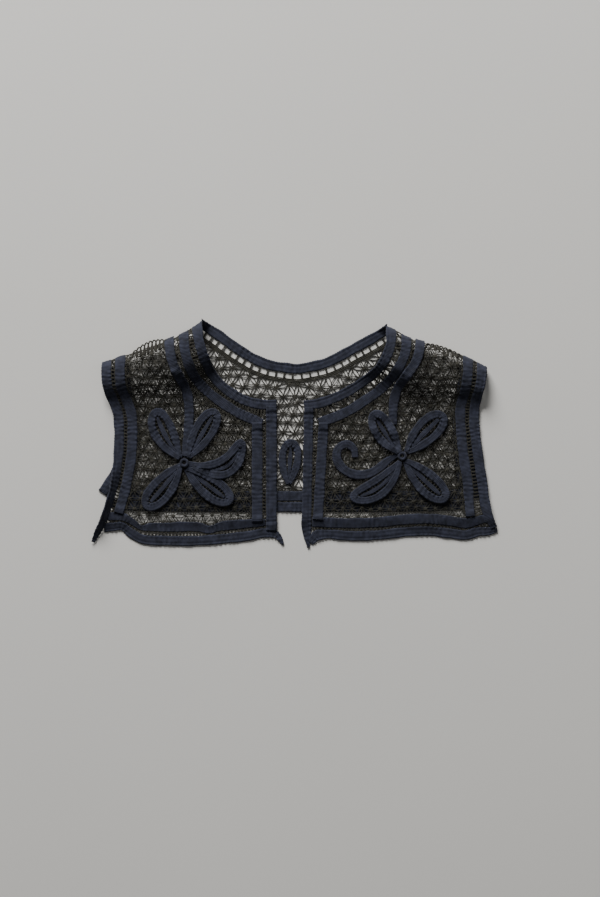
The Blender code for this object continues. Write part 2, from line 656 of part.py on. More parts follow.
def make_front(side, table, ring_at, petals, tape_finish, net_finish):
    """One front: its border tapes, the ladders between them, the net, and the flower on it."""
    front = FRONTS[side]
    prefix = side + "_"
    hand = 1 if side == "left" else -1
    tapes = make_tapes(front, table, tape_finish, prefix, OVER_FOLD)

    flower = [petal_outline(petal) for petal in petals]
    for petal, outline in zip(petals, flower):
        mesh = panel_mesh(front, outline, [petal_slot(petal)], TAPE_WALL, ON_NET)
        add_object(prefix + petal.name, mesh, tape_finish)
    rim, hole = round_loop(*ring_at, RING_RADIUS, RING_SIDES), round_loop(*ring_at, RING_HOLE, GAP_SIDES)
    add_object(prefix + "ring", panel_mesh(front, rim, [hole], TAPE_WALL, ON_NET), net_finish)
    if side == "right":
        scroll = Tape(front, RIGHT_SCROLL)
        add_object("right_petal_left", strip_mesh(scroll, TAPE_WALL, ON_NET), tape_finish)
        flower.append(between(scroll.edge(1), scroll.edge(-1)))

    # seen from the wearer's arm the centre is to the left on one front and to the right on the other
    edges = [
        tapes["neck_inner"].edge(-hand, SEAM),
        with_head(tapes["front_inner"].edge(-hand, SEAM)),
        tapes["hem_inner"].edge(1, SEAM)[::-1 if side == "left" else 1],
        tapes["side_inner"].edge(hand, SEAM)[::-1],
    ]
    across = np.linspace(edges[3][-1, 0], edges[0][0, 0], 9)[1:-1]
    edges.append(np.column_stack([across, front.under_end(across)]))
    outline = joined(edges)
    stem = tapes["stem"]
    covered = between(stem.edge(1), stem.edge(-1))
    gaps = net_gaps(outline, flower + [rim, covered])
    bend = grid_between(outline, gaps + flower + [covered], GRID_STEP, GRID_FROM)
    bend = np.vstack([bend] + [loop[inside(loop, outline)] for loop in flower])
    sides = (stem.edge(1), stem.edge(-1))
    mesh = panel_mesh(front, outline, gaps, NET_WALL, 0.0, bend, sides)
    add_object(prefix + "net", mesh, net_finish)

    corner = ladder_corner(tapes["neck_outer"], tapes["neck_inner"], hand)
    ladders = {
        "neck_ladder": ("neck_outer", "neck_inner", -hand, hand),
        "side_ladder": ("side_outer", "side_inner", hand, -hand),
        "front_ladder": ("front_outer", "front_inner", -hand, hand),
        "hem_ladder": ("hem_outer", "hem_inner", 1, -1),
    }
    for name, (outer, inner, outer_hand, inner_hand) in ladders.items():
        far = tapes[outer].edge(outer_hand, SEAM)
        near = tapes[inner].edge(inner_hand, SEAM)
        if name == "front_ladder":
            far = trimmed(far, np.vstack([far[:1], near]))
            near = np.vstack([corner, with_head(near)])
        else:
            far = trimmed(far, near)
        open_work = (side, name) == ("right", "neck_ladder")
        cut = ladder_gaps(far, near, FRONT_LADDER_GAPS, LADDER_RIM) if open_work else []
        gaps += cut
        mesh = panel_mesh(front, between(far, near), cut, NET_WALL, 0.0)
        add_object(prefix + name, mesh, net_finish)
    return len(gaps)


def with_head(edge):
    """An edge begun a little higher, so that what starts there clears the tape's corner."""
    return np.vstack([edge[:1] + [0.0, SEAM + 0.1], edge])


def ladder_corner(outer, inner, hand):
    """The end of the neck's ladder and inner tape, where the front's ladder meets them."""
    upper, lower = inner.edge(hand, SEAM), inner.edge(-hand)
    run = (inner.curve[-1] - inner.curve[-2])[:2]
    past = run / np.linalg.norm(run) * (SEAM + 0.1)
    cap = trimmed(outer.edge(-hand, SEAM), upper)[-1]
    return np.array([cap, upper[-1], lower[-1]]) + past


def trimmed(far, near):
    """The part of one edge that runs beside another: between the places nearest to its ends."""
    along = run_lengths(far)
    fine = np.linspace(0.0, along[-1], 800)
    line = np.column_stack([np.interp(fine, along, far[:, i]) for i in (0, 1)])
    ends = [fine[np.argmin(np.linalg.norm(line - end, axis=1))] for end in (near[0], near[-1])]
    inner = far[(along > ends[0] + 0.5) & (along < ends[1] - 0.5)]
    caps = [np.array([np.interp(end, along, far[:, i]) for i in (0, 1)]) for end in ends]
    return np.vstack([caps[:1], inner, caps[1:]])


def shoulder_edge(side, from_x, to_x):
    """The back's edge under a shoulder fold."""
    front = FRONTS[side]
    x = np.linspace(from_x, to_x, 9)
    return np.column_stack([x, front.fold_y(x) - ROLL[0].inward * front.size(x) - SEAM - 0.1])


def make_back(tape_finish, net_finish):
    """The back: border tapes, the ladder under its neck tape, the net, and a motif on it."""
    tapes = make_tapes(BACK, BACK_TAPES, tape_finish, "back_", {})
    neck = tapes["neck"]
    top, bottom = neck.edge(-1, SEAM), neck.edge(-1, BACK_LADDER_WIDTH)
    ladder = ladder_gaps(top, bottom, BACK_LADDER_GAPS, LADDER_BAND)
    mesh = panel_mesh(BACK, between(top, bottom), ladder, NET_WALL, 0.0)
    add_object("back_neck_ladder", mesh, net_finish)

    outline = joined([
        neck.edge(-1, BACK_LADDER_WIDTH + SEAM),
        shoulder_edge("right", 90.0, 157.0),
        tapes["side_inner_right"].edge(-1, SEAM),
        tapes["hem_inner"].edge(1, SEAM)[::-1],
        tapes["side_inner_left"].edge(1, SEAM)[::-1],
        shoulder_edge("left", -157.0, -90.0),
    ])
    gaps = net_gaps(outline, [petal_outline(BACK_MOTIF)], BACK_GAP_SPACING, BACK_GAP_RADIUS)
    gaps = [gap for gap in gaps if inside(gap.mean(axis=0)[None], np.array(BACK_SHOWS))[0]]
    add_object("back_net", panel_mesh(BACK, outline, gaps, NET_WALL, 0.0), net_finish)
    motif = panel_mesh(BACK, petal_outline(BACK_MOTIF), [petal_slot(BACK_MOTIF)], TAPE_WALL, ON_NET)
    add_object("back_motif", motif, tape_finish)
    return len(gaps) + len(ladder)


def set_on_origin(pieces):
    """Moves the pieces' points together, so that their box stands with its bottom's middle at the origin."""
    corners = np.array([vertex.co for piece in pieces for vertex in piece.data.vertices])
    low, high = corners.min(axis=0), corners.max(axis=0)
    shift = Matrix.Translation([-(low[0] + high[0]) / 2, -(low[1] + high[1]) / 2, -low[2]])
    for piece in pieces:
        piece.data.transform(shift)
    print("moved by, in mm", [round(v / MM, 3) for v in shift.translation])


def build():
    for old in list(bpy.data.objects):
        bpy.data.objects.remove(old, do_unlink=True)
    tape = material("woven cotton tape", (0.014, 0.016, 0.024), 0.75)
    net = material("twisted net thread", (0.017, 0.016, 0.012), 0.8)
    count = make_back(tape, net)
    count += make_front("left", LEFT_TAPES, LEFT_RING, LEFT_PETALS, tape, net)
    count += make_front("right", RIGHT_TAPES, RIGHT_RING, RIGHT_PETALS, tape, net)
    set_on_origin(list(bpy.data.objects))
    print("gaps cut", count)
    print("triangles", sum(len(p.vertices) - 2 for o in bpy.data.objects for p in o.data.polygons))


build()
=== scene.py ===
"""Looks of a black tape-lace collar that lies flat: woven tapes, needle-made nets and tape flowers.

The cloth is two surfaces, the flat back and the fronts that roll over the shoulders. Each piece is
worked out in plan millimetres, laid on its surface and given the thickness of tape or thread.
"""
from collections import namedtuple

import bpy
import numpy as np
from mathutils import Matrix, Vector


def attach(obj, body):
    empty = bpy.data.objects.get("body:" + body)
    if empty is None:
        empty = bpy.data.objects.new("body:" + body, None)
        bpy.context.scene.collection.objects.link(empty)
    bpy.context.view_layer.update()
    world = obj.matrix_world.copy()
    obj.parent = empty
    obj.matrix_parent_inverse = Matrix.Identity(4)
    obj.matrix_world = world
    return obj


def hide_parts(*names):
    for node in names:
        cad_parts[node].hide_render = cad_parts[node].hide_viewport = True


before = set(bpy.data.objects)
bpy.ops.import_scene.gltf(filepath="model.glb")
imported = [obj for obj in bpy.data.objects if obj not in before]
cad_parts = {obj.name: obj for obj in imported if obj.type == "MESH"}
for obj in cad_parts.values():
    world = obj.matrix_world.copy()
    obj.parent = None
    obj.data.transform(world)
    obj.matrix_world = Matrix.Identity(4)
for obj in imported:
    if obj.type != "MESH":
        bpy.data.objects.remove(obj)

bl_info = {
    "name": "Tape-lace collar",
    "version": (1, 0, 0),
    "blender": (4, 5, 0),
    "location": "View3D > Sidebar > Collar",
    "description": "Woven tapes, needle-made nets and looped-tape flowers of a collar laid flat",
    "category": "Add Mesh",
}

MM = 0.001
TAPE = 9.5              # width of the woven lace tape
# from the plan's zero to the frame's, which is the middle of the collar's box
PLAN_TO_FRAME = np.array([0.131, -1.514, 0.0])

# base and tip of a looped petal, how far its axis bows to the left, half its width, the width of
# its tape, and how far it is lifted where it is crumpled
Petal = namedtuple("Petal", "name base_x base_y tip_x tip_y bow spread tape_width crumple")
# the side of the outer tape's run that its bars leave from, their spacing and their thickness
Ladder = namedtuple("Ladder", "hand spacing thread", defaults=(0.5,))

# CLOTH

# section of the shoulder roll: distance in from the fold edge, and height
ROLL = np.array([
    (6.0, 2.3), (2.4, 3.2), (0.3, 5.8), (0.5, 9.2), (4.0, 12.8), (11.0, 15.0), (20.0, 15.1),
    (29.0, 12.7), (36.5, 7.4), (43.0, 2.8), (51.0, 0.6), (60.0, 0.1), (72.0, 0.0),
])
# how the roll's size goes from the neck to the arm: distance from the middle, and size
ROLL_SIZE = np.array([(90.0, 1.2), (178.0, 0.8)])

# the fold edges in plan, from left to right
FOLDS = {
    "left": np.array([
        (-182.0, 67.9), (-158.0, 75.5), (-135.0, 83.5), (-120.0, 88.8), (-106.0, 95.5),
        (-94.5, 102.0), (-86.0, 107.8), (-78.0, 113.0)]),
    "right": np.array([
        (78.0, 106.0), (85.5, 103.1), (93.6, 99.3), (111.6, 90.0), (133.5, 84.0),
        (159.0, 74.8), (171.0, 69.2), (183.0, 63.2)]),
}
# the last fold row that the neck's tape reaches
FOLD_TIPS = {"left": -86.0, "right": 85.5}

ON_BACK = 1.95         # a front's underside where it lies on the back
LEAVES_BACK_Y = -77.5
ON_TABLE_Y = -91.0
BACK_RISE = 0.35       # the back's edge under a fold
TIP_RISE = 6.5         # the back's neck tape at a fold's tip
TIP_REACH = 11.0
TRIM_LIFT = 1.3        # what is sewn on a net lies this far above the net's underside

# soft creases and hollows: middle, half length, half width, direction in degrees and height
CREASES = {
    "left": [
        (-140.0, 62.0, 9.0, 3.4, 25.0, 2.4), (-121.0, 62.0, 12.0, 3.2, -14.0, 2.6),
        (-139.0, 51.0, 13.0, 3.4, -16.0, 2.3), (-150.0, 55.0, 7.0, 4.0, 70.0, 1.5),
        (-113.0, 51.0, 8.0, 3.2, 27.0, 2.0), (-131.0, 57.0, 9.0, 3.0, 5.0, -1.2),
        (-106.0, 60.0, 10.0, 4.0, 78.0, -0.7), (-84.0, 62.0, 12.0, 5.0, 60.0, 0.5),
        (-139.0, 36.0, 14.0, 5.5, 8.0, 0.6), (-52.0, -62.0, 18.0, 7.0, 15.0, 0.5),
        (-150.0, -60.0, 16.0, 5.0, 75.0, 0.7), (-60.0, 8.0, 16.0, 7.0, -40.0, 0.4),
        (-120.0, -92.0, 26.0, 5.0, 2.0, 0.5), (-165.0, 70.0, 9.0, 4.0, 80.0, 0.7),
    ],
    "right": [
        (128.0, 46.0, 11.0, 3.8, -27.0, 3.0), (111.0, 58.0, 9.0, 3.6, 30.0, 2.2),
        (146.0, 57.0, 10.0, 4.0, -50.0, 2.0), (100.0, 63.0, 12.0, 4.5, -62.0, 1.4),
        (124.0, 54.0, 10.0, 3.2, -15.0, -1.5), (150.0, 44.0, 9.0, 3.6, -20.0, 1.8),
        (84.0, 66.0, 11.0, 5.0, -52.0, 0.6), (138.0, 66.0, 8.0, 4.0, 10.0, -0.8),
        (58.0, -2.0, 15.0, 7.0, 35.0, 0.5), (146.0, -62.0, 14.0, 6.0, -35.0, 0.6),
        (120.0, -84.0, 22.0, 5.0, 4.0, 0.5), (170.0, -70.0, 12.0, 5.0, 80.0, 0.8),
        (163.0, 62.0, 9.0, 4.0, -78.0, 0.7), (60.0, -90.0, 24.0, 6.0, -3.0, 0.4),
    ],
    "back": [
        (-30.0, 44.0, 16.0, 5.0, -28.0, 0.7), (34.0, 47.0, 18.0, 5.0, 30.0, 0.8),
        (-4.0, 20.0, 12.0, 5.0, 85.0, 0.5), (0.0, 70.0, 24.0, 4.0, 2.0, 0.4),
        (-176.0, -48.0, 8.0, 5.0, 60.0, 1.2),
    ],
}
# a fine unevenness over all of the cloth: wave lengths along and across, and height
UNEVEN = (17.0, 23.0, 0.22)


def smooth_values(known, values, wanted):
    """Cubic pieces through known values, each slope the mean of the slopes on its two sides."""
    slopes = np.diff(values, axis=0) / np.diff(known)[:, None]
    slopes = np.vstack([slopes[:1], (slopes[1:] + slopes[:-1]) / 2, slopes[-1:]])
    wanted = np.clip(wanted, known[0], known[-1])
    i = np.clip(np.searchsorted(known, wanted, side="right") - 1, 0, len(known) - 2)
    span = (known[i + 1] - known[i])[..., None]
    t = (wanted - known[i])[..., None] / span
    rise = values[i + 1] - values[i]
    bend = slopes[i] * span - rise
    end_bend = rise - slopes[i + 1] * span
    return values[i] + t * rise + t * (1 - t) * ((1 - t) * bend + t * end_bend)


def run_lengths(points):
    """Distance along a line of points from its first one."""
    steps = np.linalg.norm(np.diff(points, axis=0), axis=-1)
    return np.concatenate([[0.0], np.cumsum(steps)])


def smoothstep(t):
    """An even step from 0 to 1: three t squared less two t cubed."""
    t = np.clip(t, 0.0, 1.0)
    return t * t * (3 - 2 * t)


def unit(vectors):
    """Vectors divided by their length."""
    return vectors / np.linalg.norm(vectors, axis=-1, keepdims=True)


def roll_line():
    """The roll's section as a fine line with its arc length, which is zero at the fold edge."""
    along = run_lengths(ROLL)
    line = smooth_values(along, ROLL, np.linspace(0.0, along[-1], 400))
    arc = run_lengths(line)
    fold = int(np.argmin(line[:, 0]))
    return line, arc - arc[fold], fold


ROLL_LINE, ROLL_ARC, ROLL_FOLD = roll_line()
ROLL_SPARE = ROLL_ARC[-1] - ROLL_LINE[-1, 0]


def fold_y(side, x):
    """Where the fold edge of a side lies at a distance from the middle."""
    return smooth_values(FOLDS[side][:, 0], FOLDS[side][:, 1:], x)[..., 0]


def roll_size(x):
    """The roll's scale, which falls in a straight line from the neck to the arm."""
    return np.interp(np.abs(x), *ROLL_SIZE.T)


def roll_inward(arc):
    """Distance in from the fold edge at an arc length: the section's, then as long as the arc."""
    beyond = np.maximum(arc - ROLL_ARC[-1], 0.0) + np.maximum(ROLL_ARC[0] - arc, 0.0)
    return np.interp(arc, ROLL_ARC, ROLL_LINE[:, 0]) + beyond


def v_at(side, x, arc):
    """Place along the laid-out cloth of an arc length from the fold edge."""
    return fold_y(side, x) + roll_size(x) * (ROLL_SPARE - arc)


def laid_out(side, x, y):
    """Place along the laid-out cloth of a point seen from above."""
    size = roll_size(x)
    inward = (fold_y(side, x) - y) / size
    top = slice(ROLL_FOLD, None)
    arc = np.interp(inward, ROLL_LINE[top, 0], ROLL_ARC[top])
    return v_at(side, x, arc + np.maximum(inward - ROLL_LINE[-1, 0], 0.0))


def front_place(side, plan):
    """A front's cloth: round the roll by arc length, down its slope and flat on the back."""
    x, v = plan[..., 0], plan[..., 1]
    size = roll_size(x)
    arc = (fold_y(side, x) + size * ROLL_SPARE - v) / size
    y = fold_y(side, x) - size * roll_inward(arc)
    on_back = ON_BACK * smoothstep((y - ON_TABLE_Y) / (LEAVES_BACK_Y - ON_TABLE_Y))
    z = size * np.interp(arc, ROLL_ARC, ROLL_LINE[:, 1]) + on_back * smoothstep((arc - 12.0) / 40.0)
    return np.stack([x, y, z], axis=-1)


def back_place(plan):
    """The back's cloth: flat, with a small rise under the folds and a larger one at their tips."""
    x, y = plan[..., 0], plan[..., 1]
    z = np.zeros(x.shape)
    for sign, side in ((-1, "left"), (1, "right")):
        inward = fold_y(side, x) - y
        out = sign * x - sign * FOLD_TIPS[side]
        near = smoothstep((out + 24.0) / 14.0)
        z = np.maximum(z, BACK_RISE * near * (1 - smoothstep((inward - 8.0) / 8.0)))
        rise = np.clip(1 - inward / TIP_REACH, 0.0, 1.2) ** 2
        z = np.maximum(z, TIP_RISE * rise * np.exp(-np.clip(-out, 0, 80) ** 2 / 90.0))
    return np.stack([x, y, z], axis=-1)


def place(cloth, plan):
    """Points of a cloth, without its creases, at plan places."""
    return back_place(plan) if cloth == "back" else front_place(cloth, plan)


def crease_height(cloth, at):
    """Bell-shaped ridges on their own axes, and low waves everywhere, never below the cloth."""
    long_wave, cross_wave, height = UNEVEN
    x, y = at[..., 0], at[..., 1]
    low = np.sin(2 * np.pi * x / long_wave + 1.7 * np.sin(y / 19.0))
    total = height * (1 + low * np.sin(2 * np.pi * y / cross_wave + 1.3 * np.sin(x / 15.0)))
    for middle_x, middle_y, half_length, half_width, degrees, ridge in CREASES[cloth]:
        lean = np.radians(degrees)
        dx, dy = x - middle_x, y - middle_y
        along = (dx * np.cos(lean) + dy * np.sin(lean)) / half_length
        across = (dy * np.cos(lean) - dx * np.sin(lean)) / half_width
        total = total + ridge * np.exp(-along ** 2 - across ** 2)
    return np.maximum(total, -0.6 if cloth != "back" else 0.0)


def lay(cloth, plan):
    """Points of the creased cloth at plan places, and the cloth's outward normals there."""
    step = 0.05
    across = place(cloth, plan + [step, 0.0]) - place(cloth, plan - [step, 0.0])
    along = place(cloth, plan + [0.0, step]) - place(cloth, plan - [0.0, step])
    normals = unit(np.cross(across, along))
    points = place(cloth, plan)
    return points + normals * crease_height(cloth, points)[..., None], normals


# PIECES

# Tapes as stations of their middle line, seen from above: x, y, and where they differ from the
# usual ones the width and the tilt in degrees. Left front, from the shoulder down and from the
# arm to the centre
LEFT_TAPES = {
    "neck_outer": [
        (-91.5, 103), (-90.2, 90.7), (-86, 75.5), (-79.3, 60.3), (-71.7, 49.9), (-62.2, 41.8),
        (-46, 32.8), (-31, 29.4), (-16.8, 29.2)],
    "neck_inner": [
        (-104.3, 95), (-103.2, 81.2), (-99.3, 66), (-92, 52), (-81, 40.5), (-67.9, 30.4),
        (-53.7, 21.6), (-34.5, 13)],
    "stem": [
        (-117.5, 84.5, 9), (-115.6, 72, 9), (-108, 54.6, 9), (-101.6, 39.4, 9), (-99.8, 22.3, 9),
        (-100.6, 7.1, 8.5), (-102.6, -7.1, 7), (-104, -17.5, 5)],
    "front_outer": [
        (-21.8, 24.1, 10.2), (-21.8, -30, 10.2), (-21.8, -84.6, 10.2)],
    "front_inner": [
        (-35.3, 7.4, 10.2), (-35.3, -35, 10.2), (-35.3, -78.4, 10.2)],
    "hem_outer": [
        (-172, -86.6, 8.5), (-163.9, -86, 8.2), (-155.3, -92.4, 8.4), (-144.9, -98.2, 9),
        (-123, -99.9), (-89.8, -99.9), (-66, -97.9), (-42.3, -95.2), (-27, -92.4, 9),
        (-17.2, -94.4, 7.5), (-10.5, -103.5, 2.2)],
    "hem_inner": [
        (-173, -76.6, 8.4), (-161.5, -77.5, 7), (-153.2, -82.2, 5.6), (-145.3, -87.6, 5),
        (-136.8, -87, 8), (-123, -87.1, 9.2), (-89.8, -87.1, 9.2), (-81.7, -89.4, 7.4),
        (-68.9, -86.1, 9.2), (-51.8, -84.2, 9), (-28, -82.3, 6.4)],
    "side_outer": [
        (-177.5, 64), (-177.6, 56), (-176, 44), (-171.8, 33), (-167.7, 22), (-166.4, 8),
        (-166.5, -8, TAPE, -8), (-168.2, -26, TAPE, -24), (-171.6, -43, TAPE, -40),
        (-176.4, -60, TAPE, -48), (-182.6, -78, TAPE, -48), (-188, -92, 7, -35),
        (-191.5, -101, 3.5, -20)],
    "side_inner": [
        (-164.3, 70), (-164.6, 58), (-163.2, 44), (-158.8, 33), (-154.6, 20), (-153.7, 2),
        (-154.8, -20), (-157.6, -37.5), (-160.8, -52.7), (-165.4, -69, 9)],
}

RIGHT_TAPES = {
    "neck_outer": [
        (91, 98), (90.7, 86), (86.9, 74.6), (78.4, 62.2), (66, 51.8), (53.7, 43.4), (40.4, 36.6),
        (24.2, 30.6), (9, 28.4)],
    "neck_inner": [
        (105.5, 90.5), (104.6, 79), (99, 65), (89.5, 52), (79.4, 42), (66, 32.6), (53.4, 24.4),
        (40.4, 18.2), (27, 13.4)],
    "stem": [
        (118.2, 84.5, 9), (115.5, 72, 9), (105.5, 57, 9), (96.5, 41.3, 9), (93.8, 29, 9),
        (93.4, 18, 8)],
    "front_outer": [
        (13.5, 23, 9), (13.3, 5, 9), (12.6, -33, 9), (11.9, -61, 9), (11.6, -89, 9),
        (13.4, -106.5, 2.6)],
    "front_inner": [
        (27.3, 7.2), (26.4, -10), (25, -33), (23.4, -61), (22.4, -76.6)],
    "hem_outer": [
        (15.6, -102.6, 4.4), (20.8, -95.4, 10.4), (30.5, -93.8, 9.2), (52.7, -95.4),
        (81.2, -94.4), (105, -91.6), (126.8, -90.7), (147.7, -93), (162.9, -94.6),
        (174.3, -91.4, 9), (184, -90.9, 8.4), (192.6, -89.6, 4.6)],
    "hem_inner": [
        (22.4, -82.2), (52.7, -83.2), (81.2, -82.2), (105, -79.6), (128.7, -79), (147.7, -81),
        (163, -83.2), (174, -80.6, 8.4)],
    "side_outer": [
        (176.9, 60.5), (176, 50), (173.4, 39), (170.9, 26), (170.5, 12), (171.9, -2),
        (174.8, -23.3), (178.2, -45), (180.8, -64, TAPE, 10), (184.6, -77, 9, 18),
        (188.6, -85.6, 7, 10)],
    "side_inner": [
        (163.8, 66.5), (163, 52.7), (160.6, 38.5), (157.6, 26.1), (158, 5.2), (161, -23.3),
        (164.3, -45), (166.4, -72, 8.6)],
}

# The right flower's fifth petal is a single tape that curls back on itself
RIGHT_SCROLL = [
    (94, -20.6, 5), (88.4, -24, 7), (81, -30.4, 8.4), (71.7, -35.8, 8.6), (60.3, -37.4, 8.6),
    (50.8, -34.8, 8.6), (43.4, -28.6, 8.6), (40, -20, 8.4), (42.3, -11.6, 8), (49.9, -8.4, 7.6),
    (56.6, -13.4, 7), (57.4, -21, 6),
]

# Tapes of the back, from its left side to its right, or from its shoulders down
BACK_TAPES = {
    "neck": [
        (-81.8, 101.6, 9), (-71.2, 94.8), (-59.4, 86), (-47, 77.8), (-35.6, 71.4), (-21.7, 66.4),
        (-9, 64.4), (2.4, 63.2), (13.8, 65), (28, 68.2), (40.7, 73.8), (53.4, 80.8), (66, 87.6),
        (74, 92), (80, 95.6, 9)],
    "hem_outer": [
        (-173, -64.9), (-150, -67), (-90, -67.9), (0, -68), (90, -67.9), (150, -66.4),
        (171, -64.4)],
    "hem_inner": [
        (-158.8, -55.2), (-150, -56.6), (-90, -57.5), (0, -57.6), (90, -57.5), (150, -56.2),
        (159.5, -54.9)],
    "side_outer_left": [
        (-174.6, 62.8), (-168.6, 36), (-162.6, 14), (-162, -6), (-164.5, -22), (-171.5, -38),
        (-182.2, -54.6)],
    "side_inner_left": [
        (-162.6, 66.8), (-158, 36), (-152.4, 14), (-151.8, -6), (-154, -22), (-158, -36),
        (-163.4, -48.6, 8.6)],
    "side_outer_right": [
        (173.6, 58.8), (169, 36), (165.6, 14), (166.4, -8), (168.6, -30), (171.2, -58.6)],
    "side_inner_right": [
        (161.8, 64.6), (158.4, 36), (155.4, 14), (156.2, -8), (158.2, -30), (159.8, -48.9)],
}

# tapes with a thread drawn out a quarter of the way in, and on which side of the run
DRAWN_LINES = {
    "back": {"neck": 0.5},
    "left": {"neck_outer": 0.5, "front_outer": -0.5, "hem_outer": -0.5, "side_outer": -0.5},
    "right": {"neck_outer": -0.5, "front_outer": 0.5, "hem_outer": -0.5, "side_outer": 0.5},
}

# how far a tape's start and end are carried on to lie over, under or against the next tape, and
# how much higher those ends lie, in millimetres
ENDS = {
    "left": {
        "neck_inner": (0.0, 4.0, 0.0), "front_outer": (4.0, 6.0, 1.1),
        "front_inner": (5.0, 3.2, 1.1), "side_inner": (0.0, 5.0, 1.1), "hem_inner": (5.0, 0.6, 0.0),
        "hem_outer": (9.0, 0.0, 0.0), "stem": (0.0, 2.5, 1.1)},
    "right": {
        "neck_inner": (0.0, 4.0, 0.0), "front_outer": (4.0, 0.0, 1.1),
        "front_inner": (5.0, 3.2, 1.1), "side_inner": (0.0, 5.0, 1.1), "hem_inner": (5.5, 9.0, 0.0),
        "side_outer": (0.0, 2.0, 0.0), "scroll": (5.0, 0.0, 0.0), "stem": (0.0, 8.0, -0.7)},
    "back": {
        "neck": (7.0, 8.8, 0.0), "side_inner_left": (0.0, 2.0, 0.0),
        "side_inner_right": (0.0, 2.0, 0.0), "side_outer_right": (0.0, 2.0, 0.0)},
}
NO_ENDS = (0.0, 0.0, 0.0)
TIP_X = 87.8           # where the back's neck tape ends, under a front's

# the plan shows a motif, five petals and four, each a tape looped round its own slot
LEFT_RING = (-104.4, -26.0)
LEFT_PETALS = [
    Petal("petal_upper_right", -100.9, -21.2, -73.6, 25.0, 0.0, 11.4, 7.2, 0.3),
    Petal("petal_upper_left", -108.5, -21.5, -132.8, 25.4, 2.5, 12.2, 7.4, 0.5),
    Petal("petal_lower_left", -107.9, -28.0, -142.4, -69.4, 1.0, 12.2, 7.4, 0.3),
    Petal("petal_lower_right", -102.6, -31.4, -59.0, -64.0, -0.5, 12.2, 7.8, 0.6),
    Petal("petal_right", -100.4, -26.6, -48.2, -2.4, -17.5, 10.8, 7.4, 1.3),
]
RIGHT_RING = (102.1, -19.5)
RIGHT_PETALS = [
    Petal("petal_upper_right", 105.9, -16.2, 142.8, 21.2, 0.5, 12.6, 7.4, 0.4),
    Petal("petal_upper_left", 99.6, -16.7, 74.4, 23.2, 1.5, 11.2, 7.4, 2.0),
    Petal("petal_lower_left", 100.3, -24.4, 52.8, -60.0, 7.6, 10.8, 7.0, 0.3),
    Petal("petal_lower_right", 104.9, -23.7, 145.0, -61.8, -1.0, 12.2, 7.4, 0.7),
]
BACK_MOTIF = Petal("motif", -5.6, -46.5, -3.0, -3.5, 0.0, 10.8, 6.8, 0.4)

# ladders, each between the outer and the inner tape of its name
LADDERS = {
    "left": {
        "neck_ladder": Ladder(-1, 3.4), "side_ladder": Ladder(1, 3.2),
        "front_ladder": Ladder(-1, 3.3), "hem_ladder": Ladder(1, 3.3)},
    "right": {
        "neck_ladder": Ladder(1, 6.4, 0.7), "side_ladder": Ladder(-1, 3.2),
        "front_ladder": Ladder(1, 3.3), "hem_ladder": Ladder(1, 3.3)},
    "back": {
        "hem_join": Ladder(1, 3.1), "side_join_left": Ladder(1, 3.1),
        "side_join_right": Ladder(-1, 3.1)},
}
BACK_BAR_SPACING = 7.4
BACK_LADDER_WIDTH = 5.4
BACK_BAND = 2.6
# the tapes that go on under the fold, and what share of the roll's underside they reach, and
# what share the stem does
UNDER_FOLD = ("neck_outer", "neck_inner", "side_outer", "side_inner", "stem")
UNDER_SHARE = 0.93
STEM_UNDER_SHARE = 0.4

# fine work, in millimetres from one to the next
PUCKER_PITCH = 4.3      # gathers across a tape
SCALLOP_PITCH = 2.5     # waves of a tape's edge
EYELET_PITCH = 1.9      # stitches beside a drawn thread
BAR_PITCH = 2.7         # bars in a petal's slot
LOOP_PITCH = 3.3        # loops of the net on a tape's edge
LOOP_REACH = 1.9        # how far they reach out from it
SHEARED_END = 12.0      # length over which a tape's slanted end is made up
FOLD_LOOP_HALF = 2.5    # half the width of a loop that stands out over a fold
RING_MIDDLE = 3.0       # radius of the ring's middle line
RING_CORD = 1.4         # radius of the cord under its winding
RING_TURNS = 22         # turns of the winding


def skin(rings, along, around, closed=False):
    """Tubes from rings of points (tube, ring, point), joined by quads, capped or closed.

    Returns the points, the quads with faces outwards, and each quad's corners on the pattern's map.
    """
    runs, count, sides = rings.shape[:3]
    index = np.arange(runs * count * sides).reshape(runs, count, sides)
    rows = np.concatenate([index, index[:, :1]], axis=1) if closed else index
    after = np.roll(rows, -1, axis=2)
    quads = np.stack([rows[:, :-1], rows[:, 1:], after[:, 1:], after[:, :-1]], axis=-1)
    u = np.broadcast_to(along[:, :, None], (runs, rows.shape[1], sides))
    v = np.broadcast_to(around, (runs, rows.shape[1] - 1, sides + 1))
    start, end = v[..., :-1], v[..., 1:]
    corners_u = np.stack([u[:, :-1], u[:, 1:], u[:, 1:], u[:, :-1]], axis=-1)
    corners_v = np.stack([start, start, end, end], axis=-1)
    quads = quads.reshape(-1, 4)
    corners = np.stack([corners_u, corners_v], axis=-1).reshape(-1, 4, 2)
    if not closed:
        half = np.arange(1, sides // 2)
        cap = np.stack([half - 1, half, sides - 1 - half, sides - half], axis=1)
        ends = np.concatenate([index[:, 0][:, cap], index[:, -1][:, cap[:, ::-1]]]).reshape(-1, 4)
        quads = np.concatenate([quads, ends])
        corners = np.concatenate([corners, np.zeros((len(ends), 4, 2))])
    return rings.reshape(-1, 3), quads, corners


def together(parts):
    """Several meshes of points, quads and pattern corners as one."""
    starts = np.cumsum([0] + [len(part[0]) for part in parts[:-1]])
    return (np.concatenate([part[0] for part in parts]),
            np.concatenate([part[1] + start for part, start in zip(parts, starts)]),
            np.concatenate([part[2] for part in parts]))


